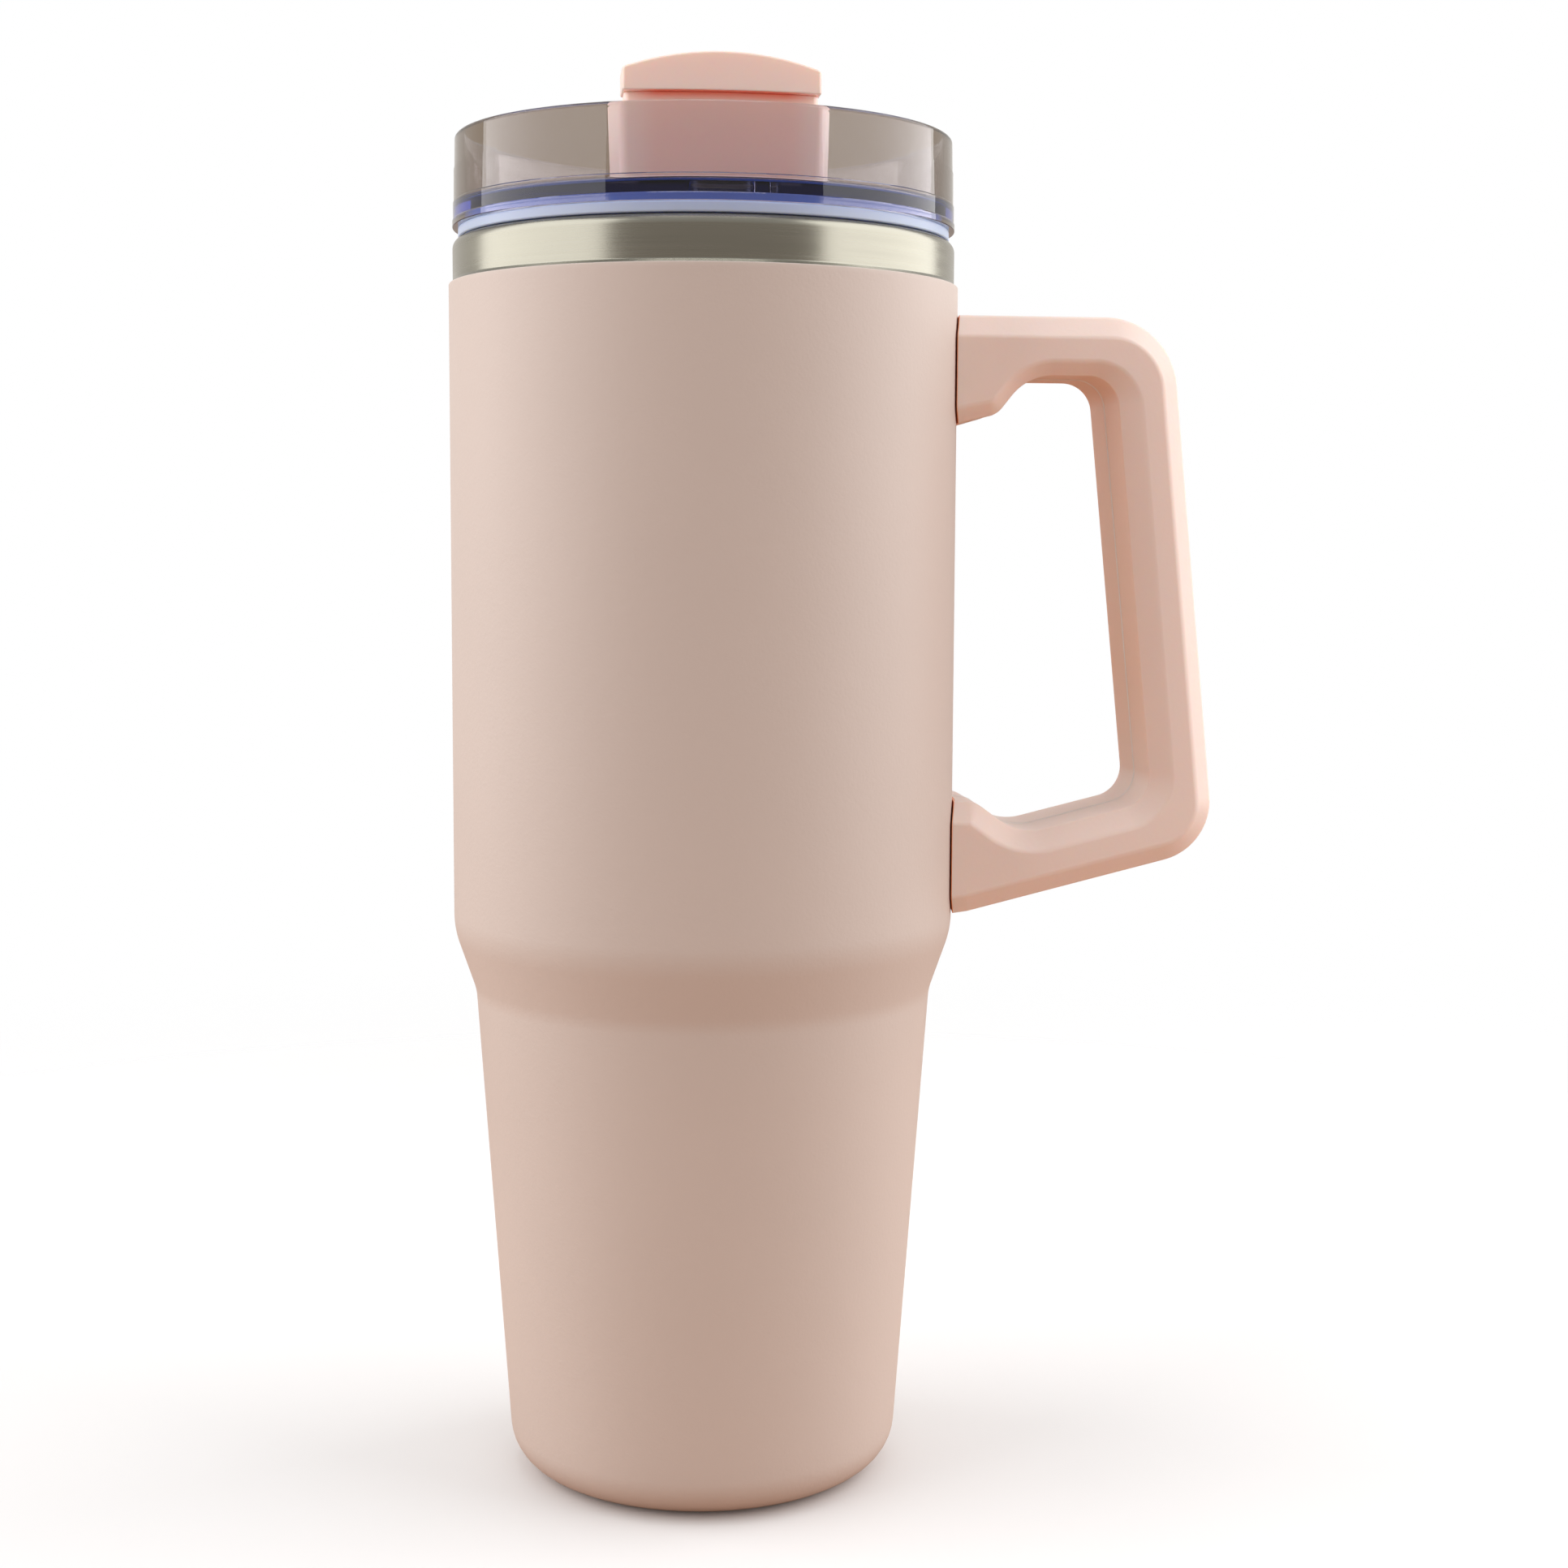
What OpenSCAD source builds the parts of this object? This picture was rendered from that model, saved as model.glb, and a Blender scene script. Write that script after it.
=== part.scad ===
// Vacuum-insulated tumbler with a side handle and a clear press-in lid with a flip cover.
// Origin: centre of the base on the table. +Z up, the handle reaches towards +X and the
// flip cover faces -Y. All sizes are in millimetres.

/* [Body] */
// Outside diameter of the coated upper body
body_d = 100; // [83:0.5:120]
// Height of the top edge of the powder coat
coat_top = 237; // [197:1:285]
// Height of the narrow base section, up to the foot of the shoulder
base_h = 98; // [81:1:118]
// Height of the sloping shoulder
shoulder_h = 12.4; // [10:0.1:15]
// How far the shoulder steps out on each side
shoulder_out = 4.3; // [3.5:0.1:5.2]
// Taper of the narrow base on each side, in degrees
base_taper = 4.06; // [2:0.01:6]
// Radius of the rounded edge round the foot
foot_corner_r = 9; // [7:0.5:11]
// Radius of the hollow blend below the shoulder
waist_blend_r = 12; // [8:1:16]
// Radius of the round blend above the shoulder
shoulder_blend_r = 18; // [12:1:22]

/* [Walls] */
// Thickness of the powder coat
coat_t = 0.25; // [0.2:0.05:0.4]
// Wall thickness of the outer steel shell
shell_t = 0.5; // [0.4:0.05:0.7]
// Wall thickness of the steel liner
liner_t = 0.45; // [0.35:0.05:0.6]
// Width of the vacuum space between shell and liner
vacuum_gap = 2.6; // [2.1:0.1:3.2]
// Height of the weld between the liner wall and its bottom
liner_weld_h = 26; // [22:1:31]
// Inside floor height of the liner above the table
liner_floor = 10; // [9:0.5:14]
// Inner corner radius of the liner bottom
liner_corner_r = 8; // [6:0.5:10]

/* [Base] */
// Width of the shell's inturned lip
foot_lip_w = 2.2; // [1.8:0.1:2.6]
// Wall thickness of the outer bottom and of the base cover
bottom_t = 0.5; // [0.4:0.05:0.6]
// Height of the recessed outer bottom
bottom_recess = 4.6; // [3.8:0.1:5.5]
// Radius of the sealing dimple in the outer bottom
dimple_r = 5; // [4:0.5:6]
// Depth of the sealing dimple
dimple_depth = 1.6; // [1.3:0.1:1.9]
// Radius of the vacuum hole in the dimple
vent_hole_r = 0.75; // [0.6:0.05:0.9]
// Height of the upturned edge of the base cover
cover_edge_h = 3; // [2.5:0.1:3.6]
// Radius of the getter disc
getter_r = 6; // [5:0.5:7]
// Thickness of the getter disc
getter_t = 0.8; // [0.6:0.1:1]

/* [Mouth] */
// Height of the bare steel band, from the coat's edge to the top of the rim
band_h = 8.7; // [7.3:0.1:10.4]
// How far the band is rolled in behind the coated wall
band_in = 0.55; // [0.4:0.05:0.7]
// Outer corner radius of the rim
rim_outer_r = 2; // [1.7:0.1:2.2]
// Inner corner radius of the rim
rim_inner_r = 0.8; // [0.7:0.05:0.9]

/* [Lid] */
// Height of the clear lid above its skirt's lower edge
lid_h = 17.5; // [14.6:0.1:21]
// Thickness of the lid wall at the rim
lid_wall_t = 2; // [1.7:0.1:2.4]
// Total inward draft of the skirt, from its foot to the rim
lid_draft = 0.6; // [0.5:0.05:0.7]
// Height of the recess floor's underside above the skirt's lower edge
lid_floor_rise = 1.6; // [1.4:0.1:1.9]
// Thickness of the recess floor
lid_floor_t = 2; // [1.7:0.1:2.4]
// Height of the gasket seen between the rim and the skirt
gasket_show = 2.1; // [1.8:0.1:2.5]
// How far the gasket's edge sits inside the skirt's edge
gasket_in = 1.1; // [0.9:0.1:1.3]
// Thickness of the gasket's sleeve
sleeve_t = 0.8; // [0.7:0.05:1]
// How far the plug reaches down into the mouth below the rim
plug_drop = 10; // [8.5:0.5:12]
// Wall thickness of the plug
plug_t = 1.6; // [1.3:0.1:1.9]
// Space between the plug and the liner, filled by the gasket
plug_space = 1.8; // [1.5:0.1:2.1]
// Height of the retaining bead at the foot of the plug
plug_bead_h = 1; // [0.8:0.1:1.2]
// Length of the drink slot across the lid
slot_l = 12; // [10:0.5:14]
// Width of the drink slot
slot_w = 5.2; // [4.6:0.1:5.6]
// Radius of the air hole
air_hole_r = 1; // [0.8:0.1:1.2]
// Distance of the air hole from the middle of the slot
air_hole_out = 8.8; // [8:0.1:9.4]
// How far the stopper's pad laps past the slot in front and behind
pad_lap = 1.3; // [1:0.1:1.5]

/* [Flip cover] */
// Width of the cover's front face
tab_front_w = 36.6; // [31:0.2:40]
// Width across the back of the front block
tab_back_w = 40.6; // [38:0.2:43]
// Depth of the front block from front to back
tab_depth = 10.5; // [9.5:0.5:12.5]
// Radius of the front face seen from above
tab_front_r = 90; // [75:5:108]
// Space between the front corners and the lid wall
tab_corner_gap = 1.4; // [1.1:0.1:1.7]
// Height of the finger groove's lower edge above the lid's rim
groove_rise = 0.5; // [0.3:0.1:0.7]
// Height of the finger groove
groove_h = 2; // [1.7:0.1:2.4]
// Depth of the finger groove at the front
groove_depth = 2.2; // [1.8:0.1:2.6]
// Depth of the finger groove at the sides
groove_side = 0.5; // [0.4:0.05:0.6]
// Height of the cap above the groove, at its middle
cap_h = 6.9; // [6:0.1:8.2]
// Crown radius of the cap seen from the front
cap_crown_r = 60; // [50:1:72]
// Wall thickness of the flip cover
cover_wall = 2; // [1.7:0.1:2.2]
// Width of the arm that runs back to the hinge
arm_w = 30; // [28:0.5:36]
// Height of the arm's roof at the hinge, above the hinge axis
arm_roof = 5.5; // [5.2:0.1:6]
// Height of the arm's roof at the front block, above the hinge axis
arm_roof_front = 8.5; // [7.5:0.1:9]

/* [Hinge] */
// Distance of the hinge axis behind the middle of the lid
hinge_y = 0; // [-3:0.5:4]
// Height of the hinge axis above the recess floor
hinge_rise = 7.1; // [6.6:0.1:8]
// Radius of the hinge pin
pin_r = 1.5; // [1.25:0.05:1.7]
// Thickness of each hinge lug
lug_t = 4; // [3.4:0.1:4.6]
// Radius of the rounded top of each lug
lug_r = 3; // [2.8:0.05:3.1]

/* [Handle] */
// Drop of the handle's top below the coat's top edge
handle_drop = 5.4; // [4.5:0.1:7]
// Height of the handle's lower root above the top of the shoulder
handle_rise = 3.3; // [2.8:0.1:5]
// Reach of the upper outer corner from the body's side
handle_reach = 41.5; // [36:0.5:50]
// Width of the handle across the body's front
handle_w = 30; // [27:0.5:36]
// Thickness of the upper arm
upper_arm_t = 11.5; // [11:0.1:13.5]
// Thickness of the grip
grip_t = 12.2; // [11.5:0.1:14]
// Thickness of the lower arm
lower_arm_t = 12.35; // [11.5:0.05:14]
// Lean of the grip away from the body, in degrees
grip_lean = 5.9; // [3:0.1:8]
// Slope of the lower arm, in degrees
lower_arm_slope = 13.9; // [8:0.1:16]
// Radius of the upper outer corner
upper_corner_r = 14.5; // [12:0.5:17]
// Radius of the lower outer corner
lower_corner_r = 12; // [10:0.5:14]
// Radius of the two inner corners
inner_corner_r = 5.5; // [4.5:0.5:6.5]
// Wall thickness of the handle halves
handle_wall = 2.2; // [1.8:0.1:2.4]
// Chamfer of the outer edges, along the thickness
outer_chamfer = 3.6; // [3:0.1:4.3]
// Chamfer of the inner edges, along the thickness
inner_chamfer = 4; // [3.4:0.1:4.6]
// Chamfer of the upper arm's outer edges, along the thickness
arm_outer_chamfer = 4.2; // [3.4:0.1:4.8]
// Chamfer of the upper arm's inner edges, along the thickness
arm_inner_chamfer = 2.6; // [2.2:0.1:4]
// Chamfer of all four edges, along the width
side_chamfer = 3; // [2.5:0.1:3.6]
// Extra depth of the upper root below the arm
upper_flare = 9.4; // [8:0.1:11]
// Extra height of the lower root above the arm
lower_flare = 9.7; // [8.2:0.1:11.5]

/* [Handle fixing] */
// Distance of the screw axes from the body's side
screw_out = 7.2; // [6.6:0.1:7.6]
// Drop of the upper screw below the handle's top
upper_screw_drop = 7.6; // [7.2:0.1:8.2]
// Rise of the lower screw above the handle's lower root
lower_screw_rise = 10.6; // [10.2:0.1:11.2]
// Radius of the screw's shank
screw_r = 1.45; // [1.2:0.05:1.5]
// Radius of the screw's head
head_r = 2.8; // [2.4:0.1:3]
// Height of the screw's head
head_h = 2; // [1.7:0.1:2.4]
// Length of the screw under its head
screw_l = 20; // [18:0.5:22]
// Thickness of the plug over each screw
screw_plug_t = 1.5; // [1.2:0.1:1.8]
// Outer radius of the screw bosses
boss_r = 4.4; // [4:0.1:4.7]
// Thickness of the bracket's saddle and tongue
saddle_t = 1; // [0.8:0.05:1.1]
// Width of the saddle round the body
saddle_w = 20; // [17:0.5:22]
// Height of the saddle
saddle_h = 10; // [8:0.25:10.5]
// Thickness of the bracket's tongue
tongue_t = 2.5; // [2:0.1:3]
// Radius of the tongue's rounded end
tongue_r = 4.6; // [4:0.1:4.8]
// Radius of the locating pegs in the grip
peg_r = 1.6; // [1.3:0.1:1.8]

/* [Clearances] */
// Running clearance of the cover on its pin, on the radius
pin_clearance = 0.05; // [0.02:0.01:0.1]
// Clearance of the closed cover above the recess floor
floor_clearance = 0.3; // [0.25:0.05:0.5]
// Clearance of the gasket's lips and flange from the steel
seal_clearance = 0.3; // [0.25:0.05:0.4]
// Clearance of the gasket's flange above the rim
rest_clearance = 0.1; // [0.05:0.05:0.2]
// Clearance between parts that are pushed together and stay put
fit_clearance = 0.15; // [0.1:0.05:0.2]
// Side clearance between the cover's arm and the lugs
lug_clearance = 0.4; // [0.3:0.05:0.6]
// Gap between the handle's roots and the body
root_gap = 0.4; // [0.3:0.05:1]

/* [Hidden] */
$fn = 96;
eps = 0.01;
arc_steps = 7;
corner_steps = 6;

// Small fixed steps and laps
rim_flat = 0.1;
flange_lap = 0.3;
slot_wall_gap = 0.6;
insert_lift = 2.3;
pad_rise = 0.2;
head_floor = 0.4;
cap_side_in = 0.3;
root_sink = 1;
upper_knee_share = 0.8;
lower_knee_share = 0.91;

// Body radii and heights
body_r = body_d / 2;
waist_r = body_r - shoulder_out;
foot_r = waist_r - base_h * tan(base_taper);
shoulder_top = base_h + shoulder_h;
shell_r = body_r - coat_t;
band_r = shell_r - band_in;
rim_top = coat_top + band_h;
liner_in = coat_t + shell_t + vacuum_gap;
liner_r = body_r - liner_in - liner_t;
rim_mid_r = liner_r + rim_inner_r + rim_flat;

// Base
coat_end_r = foot_r - foot_corner_r - 0.5;
lip_r = coat_end_r - foot_lip_w;
bottom_wall_r = lip_r - fit_clearance;
bottom_flange_r = coat_end_r - shell_t - fit_clearance;

// Lid heights and radii
skirt_z = rim_top + gasket_show;
floor_z = skirt_z + lid_floor_rise;
floor_top = floor_z + lid_floor_t;
lid_top = skirt_z + lid_h;
lid_r = band_r;
recess_r = lid_r - lid_draft - lid_wall_t;
plug_r = liner_r - plug_space;
plug_in_r = plug_r - plug_t;
sleeve_r = plug_r + sleeve_t;
plug_bottom = rim_top - plug_drop;
flange_r = recess_r + flange_lap;

// Flip cover
cover_z = floor_top + floor_clearance;
corner_reach = recess_r - tab_corner_gap;
tab_front = -sqrt(corner_reach * corner_reach - tab_front_w * tab_front_w / 4)
    - tab_front_w * tab_front_w / (8 * tab_front_r);
tab_back = tab_front + tab_depth;
groove_z = lid_top + groove_rise;
cap_z = groove_z + groove_h;
cap_top = cap_z + cap_h;
hinge_z = floor_top + hinge_rise;
arm_z = hinge_z - arm_roof;
arm_in_w = arm_w - 2 * cover_wall;
slot_y = tab_front + cover_wall + pad_lap + slot_w / 2 + slot_wall_gap;
insert_z = cover_z + insert_lift;
insert_t = 1.6;
pad_z = floor_top + pad_rise;

// Handle
root_x = body_r + root_gap;
handle_top = coat_top - handle_drop;
handle_foot = shoulder_top + handle_rise;
upper_screw = [body_r + screw_out, handle_top - upper_screw_drop];
lower_screw = [body_r + screw_out, handle_foot + lower_screw_rise];
head_seat = handle_w / 2 - screw_plug_t - head_h - head_floor;

// ---- outlines -------------------------------------------------------------------------

function unit(v) = v / norm(v);
function left(v) = [-v[1], v[0]];
function flat(c) = [c[0], c[1]];
function reversed(list) = [for (i = [len(list) - 1 : -1 : 0]) list[i]];

// A circular arc that leaves the line a-p and joins the line p-b, setback before and after p
function bend(a, p, b, setback, steps) =
    let (d_in = unit(p - a),
         d_out = unit(b - p),
         w = sqrt((1 + d_in * d_out) / 2),
         start = p - setback * d_in,
         end = p + setback * d_out)
    [for (i = [0 : steps])
        let (t = i / steps,
             k0 = (1 - t) * (1 - t),
             k1 = 2 * t * (1 - t) * w,
             k2 = t * t)
        (k0 * start + k1 * p + k2 * end) / (k0 + k1 + k2)];

// How far before its corner a fillet of radius r begins
function setback(a, p, b, r) =
    let (c = unit(p - a) * unit(b - p))
    r * sqrt((1 - c) / (1 + c));

// An outline through corners [x, z, fillet radius]; a corner without a radius stays sharp
function outline(c) =
    [for (i = [0 : len(c) - 1])
        let (p = flat(c[i]),
             inner = i > 0 && i < len(c) - 1,
             a = inner ? flat(c[i - 1]) : p,
             b = inner ? flat(c[i + 1]) : p)
        each inner && c[i][2] > 0
            ? bend(a, p, b, setback(a, p, b, c[i][2]), arc_steps)
            : [p]];

// The same corners moved sideways by t, to the left of the direction of travel
function inset(c, t) =
    [for (i = [0 : len(c) - 1])
        let (p = flat(c[i]),
             before = i == 0 ? flat(c[1]) - p : p - flat(c[i - 1]),
             after = i == len(c) - 1 ? before : flat(c[i + 1]) - p,
             n_in = left(unit(before)),
             n_out = left(unit(after)),
             q = p + t * (n_in + n_out) / (1 + n_in * n_out),
             r = c[i][2] - sign(cross(before, after)) * t)
        [q[0], q[1], c[i][2] > 0 ? max(r, eps) : 0]];

// A wall of revolution between the corners' outline inset by t0 and by t1
module spun_wall(c, t0, t1) {
    rotate_extrude()
        polygon(concat(outline(inset(c, t0)), reversed(outline(inset(c, t1)))));
}

// ---- body of the tumbler --------------------------------------------------------------

// Corners of the coated outside, from the foot up to the coat's top edge
body_corners = [
    [coat_end_r, 0, 0],
    [foot_r, 0, foot_corner_r],
    [waist_r, base_h, waist_blend_r],
    [body_r, shoulder_top, shoulder_blend_r],
    [body_r, coat_top, 0]];

// Corners of the steel shell's outside, from the inturned lip to the middle of the rim
shell_side = inset(body_corners, coat_t);
shell_corners = [
    [lip_r, 0, 0],
    [coat_end_r, 0, 0],
    [coat_end_r, coat_t, 0],
    shell_side[1],
    shell_side[2],
    shell_side[3],
    [shell_r, coat_top, 0],
    [band_r, coat_top + band_in, 0],
    [band_r, rim_top, rim_outer_r],
    [rim_mid_r, rim_top, 0]];

// Corners of the liner's outside: the body's sides inset past the vacuum space
liner_side = inset(body_corners, liner_in);
liner_slope = (liner_side[2][0] - liner_side[1][0]) / (liner_side[2][1] - liner_side[1][1]);
function liner_at(z) = liner_side[1][0] + (z - liner_side[1][1]) * liner_slope;
liner_base = liner_floor - liner_t;
liner_corners = [
    [liner_at(liner_weld_h), liner_weld_h, 0],
    liner_side[2],
    liner_side[3],
    [liner_r + liner_t, rim_top, 0]];

module bracket_window(screw) {
    translate([0, -saddle_w / 2 - fit_clearance, screw[1] - saddle_h / 2 - fit_clearance])
        cube([body_r + 1, saddle_w + 2 * fit_clearance, saddle_h + 2 * fit_clearance]);
}

// Drawn outer shell with the bare band and the outer half of the rim
module outer_shell() {
    color([0.78, 0.77, 0.72])
        spun_wall(shell_corners, 0, shell_t);
}

// Powder coat from the foot to the bare band, open where the brackets are welded on
module powder_coat() {
    color([0.84, 0.75, 0.71])
        difference() {
            spun_wall(body_corners, 0, coat_t);
            bracket_window(upper_screw);
            bracket_window(lower_screw);
        }
}

// Recessed bottom of the shell, welded to its lip, with the dimple and the vacuum hole
module outer_bottom() {
    top = bottom_recess + bottom_t;
    dimple_top = bottom_recess - dimple_depth;
    color([0.72, 0.71, 0.68])
        rotate_extrude()
            polygon([
                [vent_hole_r, dimple_top],
                [dimple_r - 1, dimple_top],
                [dimple_r, bottom_recess],
                [bottom_wall_r, bottom_recess],
                [bottom_wall_r, shell_t],
                [bottom_flange_r, shell_t],
                [bottom_flange_r, shell_t + bottom_t],
                [bottom_wall_r + bottom_t, shell_t + bottom_t],
                [bottom_wall_r + bottom_t, top],
                [dimple_r - 0.3, top],
                [dimple_r - 1.3, dimple_top + bottom_t],
                [vent_hole_r, dimple_top + bottom_t]]);
}

// Stamped disc pushed up inside the lip; its face is level with the lip
module base_cover() {
    edge = bottom_wall_r - fit_clearance;
    color([0.75, 0.74, 0.7])
        rotate_extrude()
            polygon([
                [0, 0],
                [edge - 0.5, 0],
                [edge, 0.5],
                [edge, cover_edge_h],
                [edge - bottom_t, cover_edge_h],
                [edge - bottom_t, bottom_t],
                [0, bottom_t]]);
}

// Drop of solder glass that closes the vacuum hole
module vacuum_seal_bead() {
    dimple_top = bottom_recess - dimple_depth;
    color([0.35, 0.3, 0.25])
        rotate_extrude()
            polygon([
                [0, dimple_top - 0.6],
                [vent_hole_r + 0.3, dimple_top - 0.5],
                [vent_hole_r + 0.8, dimple_top],
                [vent_hole_r, dimple_top],
                [vent_hole_r, dimple_top + bottom_t],
                [0, dimple_top + bottom_t]]);
}

// Liner wall with the rolled inner half of the rim
module liner_wall() {
    rim_in = liner_r + liner_t;
    color([0.8, 0.8, 0.78])
        rotate_extrude()
            polygon(concat(
                outline([for (c = liner_corners) if (c[1] < rim_top) c]),
                [[rim_in, rim_top - shell_t], [rim_mid_r, rim_top - shell_t]],
                reversed(concat(
                    outline([for (c = inset(liner_corners, liner_t)) if (c[1] < rim_top) c]),
                    outline([
                        [liner_r, rim_top - 3, 0],
                        [liner_r, rim_top, rim_inner_r],
                        [rim_mid_r, rim_top, 0]])))));
}

// Drawn bottom of the liner, butt-welded to the wall
module liner_bottom() {
    corners = [
        [0, liner_base, 0],
        [liner_at(liner_base), liner_base, liner_corner_r + liner_t],
        [liner_at(liner_weld_h), liner_weld_h, 0]];
    color([0.77, 0.77, 0.75])
        rotate_extrude()
            polygon(concat(outline(corners), reversed(outline(inset(corners, liner_t)))));
}

// Copper foil wrapped round the liner inside the vacuum
module radiation_foil() {
    foil_t = 0.1;
    lift = 0.3;
    low = liner_weld_h + 6;
    corners = [
        [liner_at(low), low, 0],
        liner_side[2],
        liner_side[3],
        [liner_r + liner_t, coat_top - 4, 0]];
    color([0.8, 0.5, 0.3])
        spun_wall(corners, -lift - foil_t, -lift);
}

// Getter disc spot-welded under the liner's bottom
module getter() {
    color([0.45, 0.45, 0.47])
        translate([0, 0, liner_base - getter_t])
            cylinder(r = getter_r, h = getter_t);
}

// ---- handle ---------------------------------------------------------------------------

lean = tan(grip_lean);
rise = tan(lower_arm_slope);
lower_face = handle_foot + lower_arm_t / cos(lower_arm_slope);
function lower_line(x) = handle_foot + (x - root_x) * rise;
function lower_inner_line(x) = lower_face + (x - root_x) * rise;

// Place where the leaning line through corner meets the lower arm's line that starts at foot
function lean_meets(corner, foot) =
    let (z = (foot + rise * (corner[0] - root_x + corner[1] * lean)) / (1 + lean * rise))
    [corner[0] + (corner[1] - z) * lean, z];

upper_outer = [body_r + handle_reach, handle_top];
lower_outer = lean_meets(upper_outer, handle_foot);
upper_inner = [upper_outer[0] - grip_t + upper_arm_t * lean, handle_top - upper_arm_t];
lower_inner = lean_meets(upper_inner, lower_face);

// Places along the arms where the roots flare out: end of the root's block and end of the blend
upper_knee_x = body_r + 6.8;
upper_blend_x = body_r + 12.8;
lower_knee_x = body_r + 3.4;
lower_blend_x = body_r + 12.4;

// Corners of the two outlines, [x, z, setback], with one entry in each for every station
outer_line = [
    [root_x, handle_top, 0],
    [upper_knee_x, handle_top, 1.5],
    [upper_blend_x, handle_top, 4],
    [upper_outer[0], upper_outer[1], upper_corner_r * tan(45 - grip_lean / 2)],
    [lower_outer[0], lower_outer[1],
        lower_corner_r * tan(45 - (lower_arm_slope - grip_lean) / 2)],
    [lower_blend_x, lower_line(lower_blend_x), 4.5],
    [lower_knee_x, lower_line(lower_knee_x), 1.5],
    [root_x, handle_foot, 0]];
inner_line = [
    [root_x, handle_top - upper_arm_t - upper_flare, 0],
    [upper_knee_x, handle_top - upper_arm_t - upper_flare * upper_knee_share, 1.5],
    [upper_blend_x, handle_top - upper_arm_t, 5],
    [upper_inner[0], upper_inner[1], inner_corner_r],
    [lower_inner[0], lower_inner[1], inner_corner_r],
    [lower_blend_x, lower_inner_line(lower_blend_x), 5],
    [lower_knee_x, lower_inner_line(lower_knee_x) + lower_flare * lower_knee_share, 1.5],
    [root_x, lower_face + lower_flare, 0]];

// An end of an outline, drawn on past the root by root_sink for the round cut to trim
function drawn_on(c, next) = flat(c) - root_sink * unit(flat(next) - flat(c));
function stations(c) =
    let (last = len(c) - 1)
    concat(
        [drawn_on(c[0], c[1])],
        [for (i = [1 : last - 1])
            each bend(flat(c[i - 1]), flat(c[i]), flat(c[i + 1]), c[i][2], corner_steps)],
        [drawn_on(c[last], c[last - 1])]);

// Share of the upper arm's chamfers at station i: all of them up to the upper corner, none after it
corner_start = 1 + 2 * (corner_steps + 1);
function arm_share(i) = min(1, max(0, 1 - (i - corner_start) / corner_steps));

// Section of one half, [distance from the outer line, y]: out along the skin, back inside it.
// t is the thickness and k the share of the upper arm's chamfers
function half_section(t, k) =
    let (half = handle_w / 2,
         face = half - side_chamfer,
         in_face = face - 0.4 * handle_wall,
         c_out = outer_chamfer + k * (arm_outer_chamfer - outer_chamfer),
         c_in = inner_chamfer + k * (arm_inner_chamfer - inner_chamfer))
    [[0, 0],
     [0, -face],
     [c_out, -half],
     [t - c_in, -half],
     [t, -face],
     [t, 0],
     [t - handle_wall, 0],
     [t - handle_wall, -in_face],
     [t - max(c_in, handle_wall), handle_wall - half],
     [c_out, handle_wall - half],
     [handle_wall, -in_face],
     [handle_wall, 0]];

// One half of the handle, on the -Y side of the seam, as a hollow strip closed at its roots
module handle_half() {
    outer = stations(outer_line);
    inner = stations(inner_line);
    last = len(outer) - 1;
    ring = 12;
    points = [for (i = [0 : last])
        let (across = inner[i] - outer[i],
             at_root = i == 0 || i == last,
             d = unit(across))
        for (s = half_section(norm(across), arm_share(i)))
            let (p = outer[i] + s[0] * d,
                 dip = at_root ? root_x - sqrt(root_x * root_x - s[1] * s[1]) : 0)
            [p[0] - dip, s[1], p[1]]];
    sides = [for (i = [0 : last - 1], j = [0 : ring - 1])
        let (a = i * ring + j,
             b = i * ring + (j + 1) % ring)
        each [[a, b + ring, b], [a, a + ring, b + ring]]];
    start_cap = [for (j = [0 : 4])
        each [[j, ring - 2 - j, ring - 1 - j], [j, j + 1, ring - 2 - j]]];
    end_cap = [for (f = start_cap) [for (k = reversed(f)) k + last * ring]];
    polyhedron(points, concat(sides, start_cap, end_cap));
}

// A round bar along Y at the place [x, z], from y0 to y1
module bar_y(at, y0, y1, r) {
    translate([at[0], y0, at[1]])
        rotate([-90, 0, 0])
            cylinder(r = r, h = y1 - y0);
}

skin_y = handle_w / 2 - handle_wall / 2;
tongue_gap_y = tongue_t / 2 + fit_clearance;
function grip_middle(z) = [upper_outer[0] + (handle_top - z) * lean - grip_t / 2, z];
grip_length = upper_inner[1] - lower_inner[1];
pegs = [for (f = [0.25, 0.75]) grip_middle(lower_inner[1] + f * grip_length)];
screws = [upper_screw, lower_screw];

// Round cut that trims both roots to follow the body at the root gap
module root_cut() {
    translate([0, 0, handle_foot - 1])
        cylinder(r = root_x, h = handle_top - handle_foot + 2, $fn = 240);
}

// Front half with bosses for the screws' threads and with locating pegs
module handle_front_half() {
    color([0.85, 0.74, 0.7])
        difference() {
            union() {
                handle_half();
                for (s = screws)
                    bar_y(s, -skin_y, -tongue_gap_y, boss_r);
                for (p = pegs)
                    bar_y(p, -skin_y, 5, peg_r);
            }
            root_cut();
            for (s = screws)
                bar_y(s, head_seat - screw_l - 1, 0, screw_r + pin_clearance);
        }
}

// Rear half with counterbored bosses for the screws' heads and with sockets for the pegs
module handle_rear_half() {
    color([0.83, 0.72, 0.68])
        difference() {
            union() {
                mirror([0, 1, 0])
                    handle_half();
                for (s = screws)
                    bar_y(s, tongue_gap_y, skin_y, boss_r);
                for (p = pegs)
                    bar_y(p, 0, skin_y, peg_r + 1.6);
            }
            root_cut();
            for (s = screws) {
                bar_y(s, 0, handle_w / 2 + 1, screw_r + fit_clearance);
                bar_y(s, head_seat, handle_w / 2 + 1, head_r + fit_clearance);
            }
            for (p = pegs)
                bar_y(p, -1, 6, peg_r + fit_clearance);
        }
}

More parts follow.
